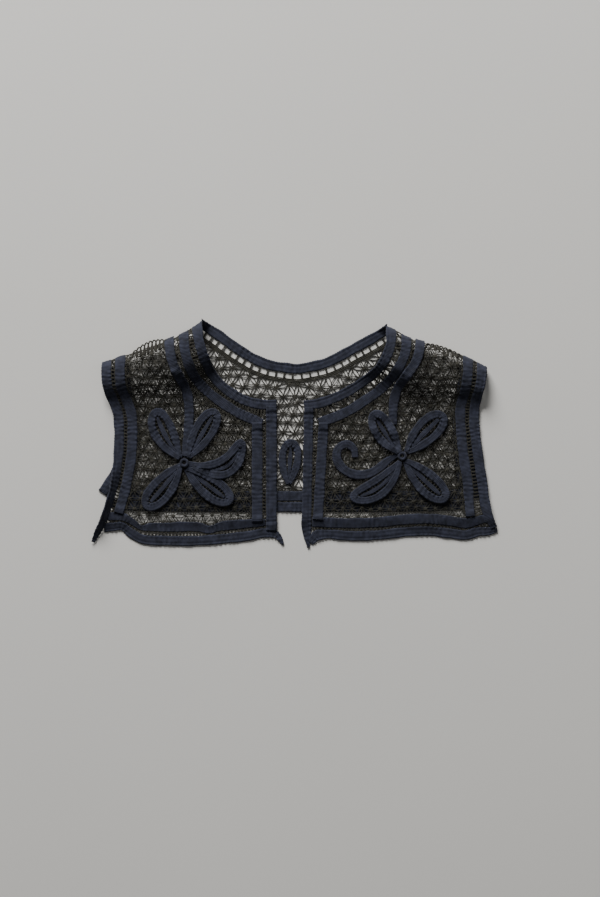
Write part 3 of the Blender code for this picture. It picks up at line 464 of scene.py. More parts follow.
def tubes(centres, normals, radius, sides=4, closed=False):
    """Round threads along lines of points: at each point, a circle square to the line."""
    if closed:
        run = np.roll(centres, -1, axis=1) - np.roll(centres, 1, axis=1)
    else:
        run = np.gradient(centres, axis=1)
    run = unit(run)
    right = unit(np.cross(run, normals))
    up = np.cross(right, run)
    angle = (np.arange(sides) + 0.5) * 2 * np.pi / sides
    radius = np.broadcast_to(radius, centres.shape[:2])[:, :, None, None]
    rings = centres[:, :, None] + radius * (
        np.cos(angle)[:, None] * right[:, :, None] + np.sin(angle)[:, None] * up[:, :, None])
    steps = np.linalg.norm(np.diff(centres, axis=1), axis=-1)
    along = np.concatenate([np.zeros((len(centres), 1)), np.cumsum(steps, axis=1)], axis=1)
    if closed:
        along = np.concatenate([along, along[:, -1:] + steps[:, :1]], axis=1)
    return skin(rings, along, np.linspace(0.0, 1.0, sides + 1), closed)


def stitched_thread(cloth, plan, height, radius, sides=4):
    """Threads over plan lines (thread, point), at a height above the cloth's underside."""
    points, normals = lay(cloth, plan)
    height = np.broadcast_to(height, plan.shape[:2])[..., None]
    return tubes(points + normals * height, normals, radius, sides)


def fine_curve(rows, step):
    """A smooth curve through rows, sampled at an even step of its plan length."""
    along = run_lengths(rows[:, :2])
    count = max(3, int(round(along[-1] / step)) + 1)
    return smooth_values(along, rows, np.linspace(0.0, along[-1], count))


def quarter_left(run):
    """Plan vectors turned a quarter to the left."""
    return np.stack([-run[..., 1], run[..., 0]], axis=-1)


def left_of(curve):
    """Unit vectors to the left of a curve's run."""
    return quarter_left(unit(np.gradient(curve[:, :2], axis=0)))


def carried_on(curve, start, end):
    """A curve carried straight on by a distance at each end."""
    for reach, at, inner in ((start, 0, 1), (end, -1, -2)):
        if reach:
            count = max(2, int(round(reach / 1.2)))
            added = np.repeat(curve[at][None], count, axis=0)
            run = unit(curve[at, :2] - curve[inner, :2])
            added[:, :2] += run * np.linspace(reach / count, reach, count)[:, None]
            curve = np.vstack([added[::-1], curve] if at == 0 else [curve, added])
    return curve


def end_rise(curve, cloth, name):
    """Height that a tape's ends gain where they are carried on over a neighbour."""
    start, end, gain = ENDS[cloth].get(name, NO_ENDS)
    run = run_lengths(curve[:, :2])
    rise = np.zeros(len(curve))
    for reach, away in ((start, run), (end, run[-1] - run)):
        if reach:
            rise += gain * smoothstep((reach + 3.5 - away) / 4.0)
    return rise


def tape_curve(cloth, name, stations, step=0.9):
    """A tape's middle line on the laid-out cloth, with width and tilt, carried under the fold."""
    rows = np.array([(*row, *(TAPE, 0.0)[len(row) - 2:]) for row in stations], float)
    if cloth != "back":
        rows[:, 1] = laid_out(cloth, rows[:, 0], rows[:, 1])
        if name in UNDER_FOLD:
            share = STEM_UNDER_SHARE if name == "stem" else UNDER_SHARE
            head = np.repeat(rows[:1], 2, axis=0)
            head[:, 1] = v_at(cloth, rows[0, 0], np.array([share * ROLL_ARC[0], 0.0]))
            rows = np.vstack([head, rows])
    return carried_on(fine_curve(rows, step), *ENDS[cloth].get(name, NO_ENDS)[:2])


def edge_line(curve, hand, offset=0.0):
    """A tape's left (+1) or right (-1) edge in plan, moved out by an offset."""
    return curve[:, :2] + hand * left_of(curve) * (curve[:, 2:3] / 2 + offset)


def turning(curve):
    """How sharply a curve turns left at each point, in radians per millimetre, smoothed."""
    run = np.unwrap(np.arctan2(*np.gradient(curve[:, 1::-1], axis=0).T))
    steps = np.linalg.norm(np.gradient(curve[:, :2], axis=0), axis=1)
    bend = np.gradient(run) / np.maximum(steps, 0.1)
    return np.convolve(np.pad(bend, 6, mode="edge"), np.full(13, 1 / 13), mode="valid")


def tape(cloth, curve, sizes, lift=0.05, line=0.0, ridges=2.0, gathers=0.25, seed=0, cut=0.0):
    """A woven tape carried along its curve, with rounded edges, ridges, a drawn line and gathers.

    Across it, its thickness falls off with the tenth power of the distance from its middle, plus a
    cosine for the lengthwise ridges, a bell along each edge and a bell-shaped groove where a
    thread is drawn out. The gathers are a sine along it that grows towards the inside of a bend,
    where the edge thread pulls it in. A tilted tape turns about its lower edge. A tape with a cut
    ends at that distance from the middle, both ways, each end sheared to fit.
    """
    across = np.linspace(-1.0, 1.0, 13)
    run = run_lengths(curve[:, :2])
    rng = np.random.default_rng(seed)
    phase = rng.uniform(0, 2 * np.pi, 5)
    sway = 0.16 * np.sin(run / 4.1 + phase[0]) + 0.12 * np.sin(run / 2.3 + phase[1])
    half = (curve[:, 2] / 2)[:, None]
    side = left_of(curve)
    scallop = 0.2 * np.sin(2 * np.pi * run / SCALLOP_PITCH + 2 * np.sin(run / 9.0 + phase[3]))
    offset = across * half + np.abs(across) ** 3 * np.sign(across) * (sway + scallop)[:, None]
    plan = curve[:, None, :2] + side[:, None] * offset[..., None]
    if cut:
        for end, inner, away in ((0, 1, run), (-1, -2, run[-1] - run)):
            ahead = unit(curve[end, :2] - curve[inner, :2])
            missing = (np.sign(ahead[0]) * cut - plan[end, :, 0]) / ahead[0]
            share = np.clip(1 - away / SHEARED_END, 0, 1)[:, None]
            plan = plan + (share * missing)[..., None] * ahead
    points, normals = lay(cloth, plan)

    tilt = np.radians(curve[:, 3])[:, None]
    raised = np.where(tilt > 0, (1 + across) / 2, (1 - across) / 2) * half * 2
    right_to_left = unit(points[:, -1:] - points[:, :1])
    points = points + normals * (np.abs(np.sin(tilt)) * raised)[..., None]
    points = points - right_to_left * (np.sign(tilt) * (1 - np.cos(tilt)) * raised)[..., None]
    face = unit(np.cross(np.gradient(points.mean(axis=1), axis=0), (points[:, -1] - points[:, 0])))
    normals = np.where(np.abs(tilt)[..., None] > 1e-4, face[:, None], normals)

    bend = np.clip(turning(curve)[:, None] * across * 6, 0.0, 0.6)
    uneven = 0.55 + 0.45 * np.sin(run / 8.3 + phase[4])[:, None]
    pull = gathers * (0.6 * uneven + 1.6 * bend)
    slant = 0.9 * np.sin(2.2 * across + run[:, None] / 6.1)
    turns = 2 * np.pi * run / PUCKER_PITCH + 1.6 * np.sin(run / 9.0 + phase[2])
    wave = np.sin(turns[:, None] + slant)
    wave = wave * pull * np.clip(np.abs(across) + 0.1 * uneven, 0.35, 1.0)
    relief = 0.07 * np.cos(2 * np.pi * ridges * across) * (np.abs(across) < 0.85)
    relief = relief + 0.2 * np.exp(-((np.abs(across) - 0.9) / 0.08) ** 2)
    if line:
        eyelets = 0.8 + 0.2 * np.sin(2 * np.pi * run / EYELET_PITCH)[:, None]
        relief = relief - 0.5 * eyelets * np.exp(-((across - line) / 0.09) ** 2)
    full = sizes.tape_thickness / MM * (1 - 0.45 * np.abs(across) ** 10)
    low = lift + np.maximum(0.6 * wave + 0.35 * gathers, 0.0)[..., None]
    bottom = points + normals * low
    top = points + normals * (low + (full + relief)[..., None])
    rings = np.concatenate([top, bottom[:, ::-1]], axis=1)
    around = (across * 0.5 + 0.5) * curve[:, 2].max()
    around = np.concatenate([around, around[::-1], around[:1]])
    return skin(rings[None], run[None], around)


def straight_axis(petal):
    """A petal's base, the way from there to its tip, how long that is, and the way to its left."""
    base = np.array([petal.base_x, petal.base_y])
    run = np.array([petal.tip_x, petal.tip_y]) - base
    length = np.linalg.norm(run)
    return base, run, length, quarter_left(run) / length


def loop_curve(petal):
    """The middle line of a tape looped into a petal: out along one side and back along the other.

    With c and s the cosine and sine of the way round, the distance out is (1 - c) / 2 of the length
    and the distance from the bowed axis is s times the 0.42nd power of that share, so it is narrow
    at the base and round at the tip. The tape narrows where its ends are drawn together.
    """
    base, run, length, left = straight_axis(petal)
    turn = np.linspace(0.03, 1.97, 150) * np.pi
    out = (1 - np.cos(turn)) / 2
    half = (petal.spread - petal.tape_width / 2) * np.sin(turn) * out ** 0.42 / 0.8
    share = out * (1 - petal.tape_width / 2 / length)
    width = petal.tape_width * (0.6 + 0.4 * smoothstep(share * 3.0))
    bow = 4 * share * (1 - share) * petal.bow
    line = base + share[:, None] * run + (bow - half)[:, None] * left
    rows = np.column_stack([line, width, np.zeros(len(line))])
    return fine_curve(rows, 1.0), length


def petal_tape(cloth, petal, sizes, seed):
    """A looped tape and the band in its slot. The loop's second side ends on top of its first.

    The loop is lifted further by a sine along it, where the petal is puffy.
    """
    curve = loop_curve(petal)[0]
    lift = TRIM_LIFT + 0.55 * smoothstep((np.arange(len(curve)) / len(curve) - 0.7) / 0.3)
    lump = petal.crumple * (0.7 + 0.5 * np.sin(run_lengths(curve[:, :2]) / 3.4 + seed))
    loop = tape(cloth, curve, sizes, (lift + lump)[:, None, None], 0.0, 1.5, 1.2, seed)
    band = tape(cloth, middle_band(petal), sizes, TRIM_LIFT + 0.2, 0.0, 1.0, 0.3, seed)
    return together([loop, band])


def petal_axis(petal, share):
    """Places along a petal's bowed axis, and half the width of the slot between its tapes there."""
    base, run, _, left = straight_axis(petal)
    axis = base + share[:, None] * run + (4 * share * (1 - share) * petal.bow)[:, None] * left
    gap = petal.spread - petal.tape_width + 0.5
    return axis, gap * np.sin(np.pi * np.clip(share + 0.04, 0.0, 1.0) ** 1.2) ** 0.6, left


def middle_band(petal):
    """The middle line of the narrow band along a petal's slot, with its width."""
    share = np.linspace(0.12, 0.84, 9)
    axis, half, left = petal_axis(petal, share)
    return fine_curve(np.column_stack([axis, 0.85 * half, np.zeros(len(axis))]), 1.0)


def petal_threads(cloth, petal, sizes):
    """The bars that hold the band in a petal's slot, evenly spaced, and a cord round its edge."""
    curve, length = loop_curve(petal)
    thread = sizes.thread_diameter / MM / 2
    share = np.linspace(0.16, 0.86, int(length * 0.7 / BAR_PITCH))
    axis, half, left = petal_axis(petal, share)
    ends = np.linspace(-1.0, 1.0, 5)[None, :, None] * (half[:, None] * left)[:, None]
    parts = [stitched_thread(cloth, axis[:, None] + ends, TRIM_LIFT + 0.55, thread * 1.25)]
    outer = curve[:, :2] - left_of(curve) * (curve[:, 2:3] / 2 - 0.1)
    parts.append(stitched_thread(cloth, outer[None, ::2], TRIM_LIFT + 0.5, thread * 1.1))
    return together(parts)


def inside(points, loop):
    """Which points lie within a closed loop, by counting the sides that they see to their right."""
    x, y = points[:, 0][:, None], points[:, 1][:, None]
    x0, y0 = loop.T
    x1, y1 = np.roll(loop, -1, axis=0).T
    rise = np.where(y1 == y0, 1e-9, y1 - y0)
    spans = (y0 > y) != (y1 > y)
    return (spans & (x < x0 + (y - y0) / rise * (x1 - x0))).sum(axis=1) % 2 == 1


def knot_grid(outline, spacing, rng):
    """Knots in staggered rows, each moved a little, and the pairs that threads join."""
    low, high = outline.min(axis=0) - spacing, outline.max(axis=0) + spacing
    xs, ys = np.meshgrid(np.arange(low[0], high[0], spacing),
                         np.arange(low[1], high[1], spacing * np.sqrt(0.75)))
    xs[1::2] += spacing / 2
    knots = np.stack([xs, ys], axis=-1) + rng.uniform(-0.17, 0.17, (*xs.shape, 2)) * spacing
    index = np.arange(xs.size).reshape(xs.shape)
    count = len(index)
    pairs = [
        (index[:, :-1], index[:, 1:]),
        (index[:-1], index[1:]),
        (index[0:count - 1:2, 1:], index[1:count:2, :-1]),
        (index[1:count - 1:2, :-1], index[2:count:2, 1:]),
    ]
    pairs = np.concatenate([np.stack([a.ravel(), b.ravel()], axis=1) for a, b in pairs])
    return knots.reshape(-1, 2), pairs


def net_mesh(cloth, outline, spacing, sizes, seed):
    """A net of star wheels: knots in staggered rows, two bowed threads to each of six neighbours.

    A thread between two knots is a straight line plus a bow of 4 t (1 - t) to one side. Threads
    that would leave the outline end on it. Each knot is a woven wheel, a flat barrel square to
    the cloth.
    """
    rng = np.random.default_rng(seed)
    knots, pairs = knot_grid(outline, spacing, rng)
    within = inside(knots, outline)
    pairs = pairs[within[pairs].any(axis=1)]
    turned = ~within[pairs[:, 0]]
    pairs[turned] = pairs[turned][:, ::-1]
    start, end = knots[pairs[:, 0]], knots[pairs[:, 1]]
    trial = np.linspace(0.0, 1.0, 24)
    places = start[:, None] + (end - start)[:, None] * trial[:, None]
    stays = inside(places.reshape(-1, 2), outline).reshape(len(pairs), -1)
    reach = np.where(stays.all(axis=1), 1.0, trial[np.argmin(stays, axis=1)])
    kept = reach > 0.15
    start, end, reach = start[kept], end[kept], reach[kept]

    run = end - start
    square = quarter_left(run)
    share = np.linspace(0.06, 0.94, 6) * reach[:, None]
    line = start[:, None] + run[:, None] * share[..., None]
    bow = (4 * share * (1 - share))[..., None] * square[:, None]
    strength = rng.uniform(0.09, 0.17, (2, len(run), 1, 1)) * [[[[1]]], [[[-1]]]]
    threads = np.concatenate([line + strength[0] * bow, line + strength[1] * bow])
    height = 0.45 + 0.2 * np.sin(np.linspace(0, np.pi, 6)) * rng.uniform(-1, 1, (len(threads), 1))
    radius = sizes.thread_diameter / MM * (0.6 if cloth == "back" else 0.5)
    parts = [stitched_thread(cloth, threads, height, radius)]

    centres, normals = lay(cloth, knots[within])
    size = rng.uniform(1.4, 2.0, (len(centres), 1, 1, 1))
    level = np.array([0.08, 0.3, 0.72, 0.92])[None, :, None, None]
    spread = np.array([0.55, 1.0, 1.0, 0.5])[None, :, None, None] * size
    first = unit(np.cross(normals, [[0.0, 1.0, 0.0]]))
    second = np.cross(first, normals)
    angle = np.arange(8) * np.pi / 4
    rim = np.cos(angle)[:, None] * first[:, None] + np.sin(angle)[:, None] * second[:, None]
    rings = centres[:, None, None] + normals[:, None, None] * level + rim[:, None] * spread
    along = np.broadcast_to(np.arange(4.0), rings.shape[:2])
    parts.append(skin(rings, along, np.linspace(0.0, 1.0, 9)))
    return together(parts)


def fold_loops(side, start, end, count, reach, sizes):
    """Loops of the net's edge that stand out over a fold: half ellipses at the roll's crest."""
    middle = np.linspace(start, end, count)
    turn = np.linspace(-0.15, 1.15, 11) * np.pi
    out = 2.5 + reach * np.sin(np.pi * (np.arange(count) + 0.7) / (count + 0.4)) ** 0.7
    x = middle[:, None] + FOLD_LOOP_HALF * np.cos(turn)
    y = fold_y(side, x) - 2.5 + out[:, None] * np.sin(turn)
    z = (12.6 - 2.2 * np.sin(turn)) * roll_size(x) + 0.5 * np.sin(middle * 1.7)[:, None]
    centres = np.stack([x, y, z], axis=-1)
    return tubes(centres, np.array([0.0, 0.0, 1.0]), sizes.thread_diameter / MM * 0.95, 6)


def edge_loops(cloth, curve, hand, sizes):
    """A thread looped along a tape's inner edge: its distance from the edge is a rectified sine."""
    line = fine_curve(curve, 0.7)
    run = run_lengths(line[:, :2])
    out = LOOP_REACH * np.abs(np.sin(np.pi * run / LOOP_PITCH))
    plan = line[:, :2] + hand * left_of(line) * (line[:, 2:3] / 2 - 0.2 + out[:, None])
    return stitched_thread(cloth, plan[None], 0.55, sizes.thread_diameter / MM / 2)


def bars(cloth, start, end, thickness, height, rows=(-0.35, 0.35)):
    """Thread bars from one edge to another, each of two threads side by side."""
    share = np.linspace(-0.12, 1.12, 5)[:, None]
    line = start[:, None] + (end - start)[:, None] * share
    run = unit(end - start)
    square = quarter_left(run)[:, None]
    arch = height + 0.25 * np.sin(np.linspace(0, np.pi, 5))
    return [stitched_thread(cloth, line + square * row, arch, thickness) for row in rows]


def nearest_on(line, points):
    """The point of a finely sampled line that is nearest to each point, and its distance."""
    away = np.linalg.norm(points[:, None] - line[None], axis=-1)
    near = away.argmin(axis=1)
    return line[near], away.min(axis=1)


def ladder_mesh(cloth, outer, inner, ladder, sizes):
    """Bars from evenly spaced places on an inner tape's edge to the nearest on an outer one's.

    Along each edge runs a thread whose distance from it is a sine of the bars' spacing.
    """
    outer = fine_curve(outer, 0.5)
    inner = fine_curve(inner, ladder.spacing)
    near = edge_line(inner, -ladder.hand)
    far, distance = nearest_on(edge_line(outer, ladder.hand), near)
    kept = (distance > 0.2) & (distance < 12.0)
    near, far = near[kept], far[kept]
    parts = bars(cloth, near, far, ladder.thread, 0.5)
    for hand, curve in ((-ladder.hand, inner), (ladder.hand, outer)):
        line = fine_curve(curve, 0.8)
        line = line[nearest_on(near, line[:, :2])[1] < ladder.spacing + 5.5]
        run = run_lengths(line[:, :2])
        out = 0.3 + 0.35 * np.sin(2 * np.pi * run / ladder.spacing)
        plan = line[:, :2] + hand * left_of(line) * (line[:, 2:3] / 2 + out[:, None])
        parts.append(stitched_thread(cloth, plan[None], 0.6, sizes.thread_diameter / MM / 2))
    return together(parts)


def ring_mesh(cloth, at, sizes):
    """A ring bound with thread: a torus whose small radius swells at each turn of thread."""
    round_turn = np.linspace(0, 2 * np.pi, 104, endpoint=False)
    circle = np.stack([np.cos(round_turn), np.sin(round_turn)], axis=-1)
    plan = np.array(at) + RING_MIDDLE * circle
    points, normals = lay(cloth, plan[None])
    points = points + normals * (TRIM_LIFT + 2.4)
    radius = RING_CORD + 0.2 * np.abs(np.sin(round_turn * RING_TURNS / 2))
    return tubes(points, normals, radius[None], 8, closed=True)


# MATERIALS


def linear(code):
    """A colour in sRGB hex as linear values."""
    value = np.array([int(code[i:i + 2], 16) for i in (1, 3, 5)]) / 255
    value = np.where(value <= 0.04045, value / 12.92, ((value + 0.055) / 1.055) ** 2.4)
    return tuple(float(v) for v in value)


def add_node(material, kind, settings=(), **sockets):
    """Adds a node with its settings, and fills its sockets with values or other nodes' outputs.

    A socket goes by its name, or by its number after a line, as in _0.
    """
    made = material.node_tree.nodes.new(kind)
    for key, value in dict(settings).items():
        setattr(made, key, value)
    for key, value in sockets.items():
        found = made.inputs[int(key[1:])] if key[0] == "_" else made.inputs[key.replace("_", " ")]
        if isinstance(value, bpy.types.NodeSocket):
            material.node_tree.links.new(value, found)
        else:
            found.default_value = value
    return made


def new_material(name):
    """A material with an empty node tree."""
    material = bpy.data.materials.new(name)
    material.use_nodes = True
    material.node_tree.nodes.clear()
    return material


def piece_places(material):
    """A point's places along and across its piece, in millimetres, and its place in the object."""
    on_piece = add_node(material, "ShaderNodeUVMap", {"uv_map": "cloth"}).outputs[0]
    split = add_node(material, "ShaderNodeSeparateXYZ", Vector=on_piece)
    at = add_node(material, "ShaderNodeTexCoord").outputs["Object"]
    return split.outputs[0], split.outputs[1], at


def stripes(material, position, pitch):
    """A wave from 0 to 1 along a position in millimetres."""
    turn = add_node(material, "ShaderNodeMath", {"operation": "MULTIPLY"}, _0=position,
                    _1=2 * np.pi / pitch).outputs[0]
    wave = add_node(material, "ShaderNodeMath", {"operation": "SINE"}, _0=turn).outputs[0]
    return add_node(material, "ShaderNodeMath", {"operation": "MULTIPLY_ADD"}, _0=wave, _1=0.5,
                    _2=0.5).outputs[0]


def blend_colours(material, factor, first, second):
    """A mix of two fixed colours by a factor."""
    made = add_node(material, "ShaderNodeMix", {"data_type": "RGBA"})
    made.inputs[6].default_value = (*first, 1.0)
    made.inputs[7].default_value = (*second, 1.0)
    material.node_tree.links.new(factor, made.inputs[0])
    return made.outputs[2]


def scaled_sum(material, first, first_share, second, second_share, less=0.0):
    """Two values, each times its share, added, less a fixed amount."""
    scaled = add_node(material, "ShaderNodeMath", {"operation": "MULTIPLY_ADD"}, _0=first,
                      _1=first_share, _2=-less).outputs[0]
    return add_node(material, "ShaderNodeMath", {"operation": "MULTIPLY_ADD"}, _0=second,
                    _1=second_share, _2=scaled).outputs[0]


def finish_cloth(material, colour, height, depth, roughness, sheen):
    """The shader of a matt thread or cloth: colour and bump linked, all else set on its sockets."""
    bump = add_node(material, "ShaderNodeBump", Strength=0.8, Distance=depth, Height=height)
    shader = add_node(material, "ShaderNodeBsdfPrincipled", Base_Color=colour, Roughness=roughness,
                      Metallic=0.0, IOR=1.45, Specular_IOR_Level=0.2, Sheen_Weight=sheen,
                      Sheen_Roughness=0.5, Normal=bump.outputs[0])
    add_node(material, "ShaderNodeOutputMaterial", Surface=shader.outputs[0])
    return material


def woven_cotton_tape(sizes, colours):
    """Black cotton tape, woven plain: a fine cross rib catches the light, and its colour holds
    painted light, paler on the ribs, with painted shade in the hollows between them, over random
    cloudy tone.
    """
    material = new_material("woven cotton tape")
    along, across, at = piece_places(material)
    rib = stripes(material, along, sizes.rib_spacing / MM)
    # a real warp thread is about 0.3 mm wide and is drawn coarser so that it shows
    warp = stripes(material, across, 0.75)
    cloudy = add_node(material, "ShaderNodeTexNoise", Vector=at, Scale=210.0, Detail=4.0).outputs[0]
    fibre = add_node(material, "ShaderNodeTexNoise", Vector=at, Scale=1400.0, Detail=2.0).outputs[0]
    # painted light: the cross rib makes the colour paler on the ribs and darker, as painted shade,
    # in their hollows; the cloud and fibre noise are random tone
    groove_shade_and_tone = scaled_sum(material, rib, 0.35, cloudy, 1.5, 0.45)
    groove_shade_and_tone = scaled_sum(material, groove_shade_and_tone, 0.9, fibre, 0.25)
    colour = blend_colours(material, groove_shade_and_tone, colours.tape_dark, colours.tape_light)
    height = scaled_sum(material, rib, 0.7, warp, 0.3)
    height = scaled_sum(material, height, 0.8, fibre, 0.25)
    return finish_cloth(material, colour, height, 0.0003, 0.78, 0.09)


def wound_cotton_thread(sizes, colours):
    """The rings' thread, wound close and still blue-black, since each turn covers the next."""
    return cotton_thread("wound cotton thread", colours.tape_dark, colours.tape_light)


def twisted_cotton_thread(sizes, colours):
    """Black sewing cotton turned brown with age, in single threads."""
    return cotton_thread("twisted cotton thread", colours.thread_dark, colours.thread_light)


def cotton_thread(name, dark, light):
    """Cotton thread of two plies twisted together, so it shows slanting lines, matt and fuzzy; the
    lines are also painted shade in the colour, darker between the plies, over random cloudy tone.
    """
    material = new_material(name)
    along, across, at = piece_places(material)
    ply = stripes(material, scaled_sum(material, along, 1.0, across, 1.2), 1.2)
    cloudy = add_node(material, "ShaderNodeTexNoise", Vector=at, Scale=140.0, Detail=3.0).outputs[0]
    # painted shade: the colour is darker in the hollows between the plies and paler on them; the
    # cloud noise is random tone
    groove_shade_and_tone = scaled_sum(material, ply, 0.35, cloudy, 1.5, 0.4)
    colour = blend_colours(material, groove_shade_and_tone, dark, light)
    return finish_cloth(material, colour, ply, 0.00015, 0.82, 0.12)


def painted_floor(colours):
    """A matt painted studio floor: pale and even, with the faint cloud of a roller."""
    material = new_material("matt studio paint")
    at = add_node(material, "ShaderNodeTexCoord").outputs["Object"]
    cloud = add_node(material, "ShaderNodeTexNoise", Vector=at, Scale=3.0, Detail=2.0).outputs[0]
    colour = blend_colours(material, cloud, colours.floor, tuple(0.95 * c for c in colours.floor))
    return finish_cloth(material, colour, cloud, 0.0002, 0.7, 0.0)


# PUTTING THE PIECES IN THE SCENE


def add_piece(name, shape, material, slot, *nodes):
    """Makes a piece's mesh in the frame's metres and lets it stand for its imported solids."""
    points, quads, corners = shape
    mesh = bpy.data.meshes.new(name)
    points = points + PLAN_TO_FRAME
    points[:, 2] = np.maximum(points[:, 2], 0.0)    # nothing sinks into the table
    mesh.from_pydata((points * MM).tolist(), [], quads.tolist())
    layer = mesh.uv_layers.new(name="cloth")
    layer.data.foreach_set("uv", corners.reshape(-1).astype(np.float32))
    mesh.polygons.foreach_set("use_smooth", np.ones(len(quads), bool))
    mesh.update()
    mesh.materials.append(material)
    piece = bpy.data.objects.new(name, mesh)
    bpy.context.scene.collection.objects.link(piece)
    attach(piece, "root")
    if nodes:
        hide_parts(*nodes)
    return piece


def tables(cloth):
    """The tapes of a cloth."""
    return {"back": BACK_TAPES, "left": LEFT_TAPES, "right": RIGHT_TAPES}[cloth]


def curves_of(cloth):
    """The middle line of each of a cloth's tapes, by name."""
    return {name: tape_curve(cloth, name, rows) for name, rows in tables(cloth).items()}


def net_outline(cloth, curves):
    """The net's edge: along the middle of its border tapes, and along the end under the fold."""
    lines = [curves["neck_inner"], curves["front_inner"],
             curves["hem_inner"][::-1 if cloth == "left" else 1], curves["side_inner"][::-1]]
    across = np.linspace(lines[3][-1, 0], lines[0][0, 0], 12)[1:-1]
    under = np.column_stack([across, v_at(cloth, across, UNDER_SHARE * ROLL_ARC[0])])
    return np.vstack([line[:, :2] for line in lines] + [under])


def back_outline(curves):
    """The back net's edge: below the neck's ladder, and along the middle of its border tapes."""
    shoulders = []
    for side, ends in (("right", (90.0, 157.0)), ("left", (-157.0, -90.0))):
        x = np.linspace(*ends, 12)
        shoulders.append(np.column_stack([x, fold_y(side, x) - 5.5 * roll_size(x)]))
    neck = edge_line(curves["neck"], -1, BACK_LADDER_WIDTH + BACK_BAND / 2)
    neck = neck[np.abs(neck[:, 0]) < 84.0]
    return np.vstack([neck, shoulders[0], curves["side_inner_right"][:, :2],
                      curves["hem_inner"][::-1, :2], curves["side_inner_left"][::-1, :2],
                      shoulders[1]])


class CollarSizes(bpy.types.PropertyGroup):
    """Sizes of the tapes and threads."""

    tape_thickness: bpy.props.FloatProperty(
        name="Tape thickness", description="Thickness of the woven tape", default=0.0009,
        min=0.0003, max=0.002, unit="LENGTH", precision=4)
    rib_spacing: bpy.props.FloatProperty(
        name="Rib spacing", description="Distance between the tape's cross ribs",
        default=0.0013, min=0.0004, max=0.004, unit="LENGTH", precision=4)
    thread_diameter: bpy.props.FloatProperty(
        name="Thread diameter", description="Diameter of the threads of nets and ladders",
        default=0.00082, min=0.0003, max=0.002, unit="LENGTH", precision=5)
    front_knots: bpy.props.FloatProperty(
        name="Front knot spacing", description="Distance between the star knots of a front's net",
        default=0.0086, min=0.005, max=0.02, unit="LENGTH", precision=4)
    back_knots: bpy.props.FloatProperty(
        name="Back knot spacing", description="Distance between the star knots of the back's net",
        default=0.0102, min=0.005, max=0.02, unit="LENGTH", precision=4)
    seed: bpy.props.IntProperty(
        name="Hand", description="Number that settles the small unevenness of hand work",
        default=7, min=0)


class CollarColours(bpy.types.PropertyGroup):
    """Colours of the collar and of the floor under it."""

    # the tape's two colours run from painted shade in the hollows between the ribs to painted light
    # on the ribs, and also span its random tone
    tape_dark: bpy.props.FloatVectorProperty(
        name="Tape hollows", description="Colour of the tape between its ribs", subtype="COLOR",
        default=linear("#111217"), min=0.0, max=1.0)
    # the ribs' paler colour is painted light, together with random tone
    tape_light: bpy.props.FloatVectorProperty(
        name="Tape ribs", description="Colour of the tape on its worn ribs", subtype="COLOR",
        default=linear("#333645"), min=0.0, max=1.0)
    # the thread's two colours run from painted shade between the plies to painted light on them,
    # and also span its random tone
    thread_dark: bpy.props.FloatVectorProperty(
        name="Thread hollows", description="Colour of the thread between its plies",
        subtype="COLOR", default=linear("#171612"), min=0.0, max=1.0)
    thread_light: bpy.props.FloatVectorProperty(
        name="Thread plies", description="Colour of the thread on its plies", subtype="COLOR",
        default=linear("#3d3b34"), min=0.0, max=1.0)
    floor: bpy.props.FloatVectorProperty(
        name="Floor", description="Colour of the studio floor", subtype="COLOR",
        default=linear("#d9d7d2"), min=0.0, max=1.0)


def finish(name, make, *values):
    """The material of a name, made at its first use."""
    return bpy.data.materials.get(name) or make(*values)


class COLLAR_OT_tapes(bpy.types.Operator):
    """Lays the woven tapes of the back and of both fronts."""

    bl_idname = "collar.tapes"
    bl_label = "Lay the tapes"

    def execute(self, context):
        sizes, colours = context.scene.collar_sizes, context.scene.collar_colours
        material = finish("woven cotton tape", woven_cotton_tape, sizes, colours)
        for cloth in ("back", "left", "right"):
            for number, (name, curve) in enumerate(curves_of(cloth).items()):
                outer = "outer" in name or name == "neck"
                hand = DRAWN_LINES[cloth].get(name, 0.0)
                lift = (TRIM_LIFT if name == "stem" else 0.05) + end_rise(curve, cloth, name)
                shape = tape(cloth, curve, sizes, lift[:, None, None], hand,
                             1.5 if outer else 2.5, 1.05, sizes.seed + 31 * number,
                             TIP_X if name == "neck" else 0.0)
                node = cloth + "_" + name
                piece = add_piece("Tape_" + node, shape, material, "lace_tape", node)
        return {"FINISHED"}


class COLLAR_OT_nets(bpy.types.Operator):
    """Works the star nets of the back and of both fronts."""

    bl_idname = "collar.nets"
    bl_label = "Work the nets"

    def execute(self, context):
        sizes, colours = context.scene.collar_sizes, context.scene.collar_colours
        material = finish("twisted cotton thread", twisted_cotton_thread, sizes, colours)
        for number, cloth in enumerate(("back", "left", "right")):
            curves = curves_of(cloth)
            if cloth == "back":
                outline, spacing = back_outline(curves), sizes.back_knots / MM
                looped = (("hem_inner", 1), ("side_inner_left", 1), ("side_inner_right", -1))
            else:
                hand = 1 if cloth == "left" else -1
                outline, spacing = net_outline(cloth, curves), sizes.front_knots / MM
                looped = (("neck_inner", -hand), ("front_inner", -hand), ("hem_inner", 1),
                          ("side_inner", hand))
            parts = [net_mesh(cloth, outline, spacing, sizes, sizes.seed + number)]
            parts += [edge_loops(cloth, curves[name], side, sizes) for name, side in looped]
            if cloth == "left":
                parts.append(fold_loops("left", -150.5, -122.0, 9, 6.0, sizes))
            if cloth == "right":
                parts.append(fold_loops("right", 126.5, 155.5, 8, 2.0, sizes))
            piece = add_piece("Net_" + cloth, together(parts), material, "net_thread",
                              cloth + "_net")
        return {"FINISHED"}


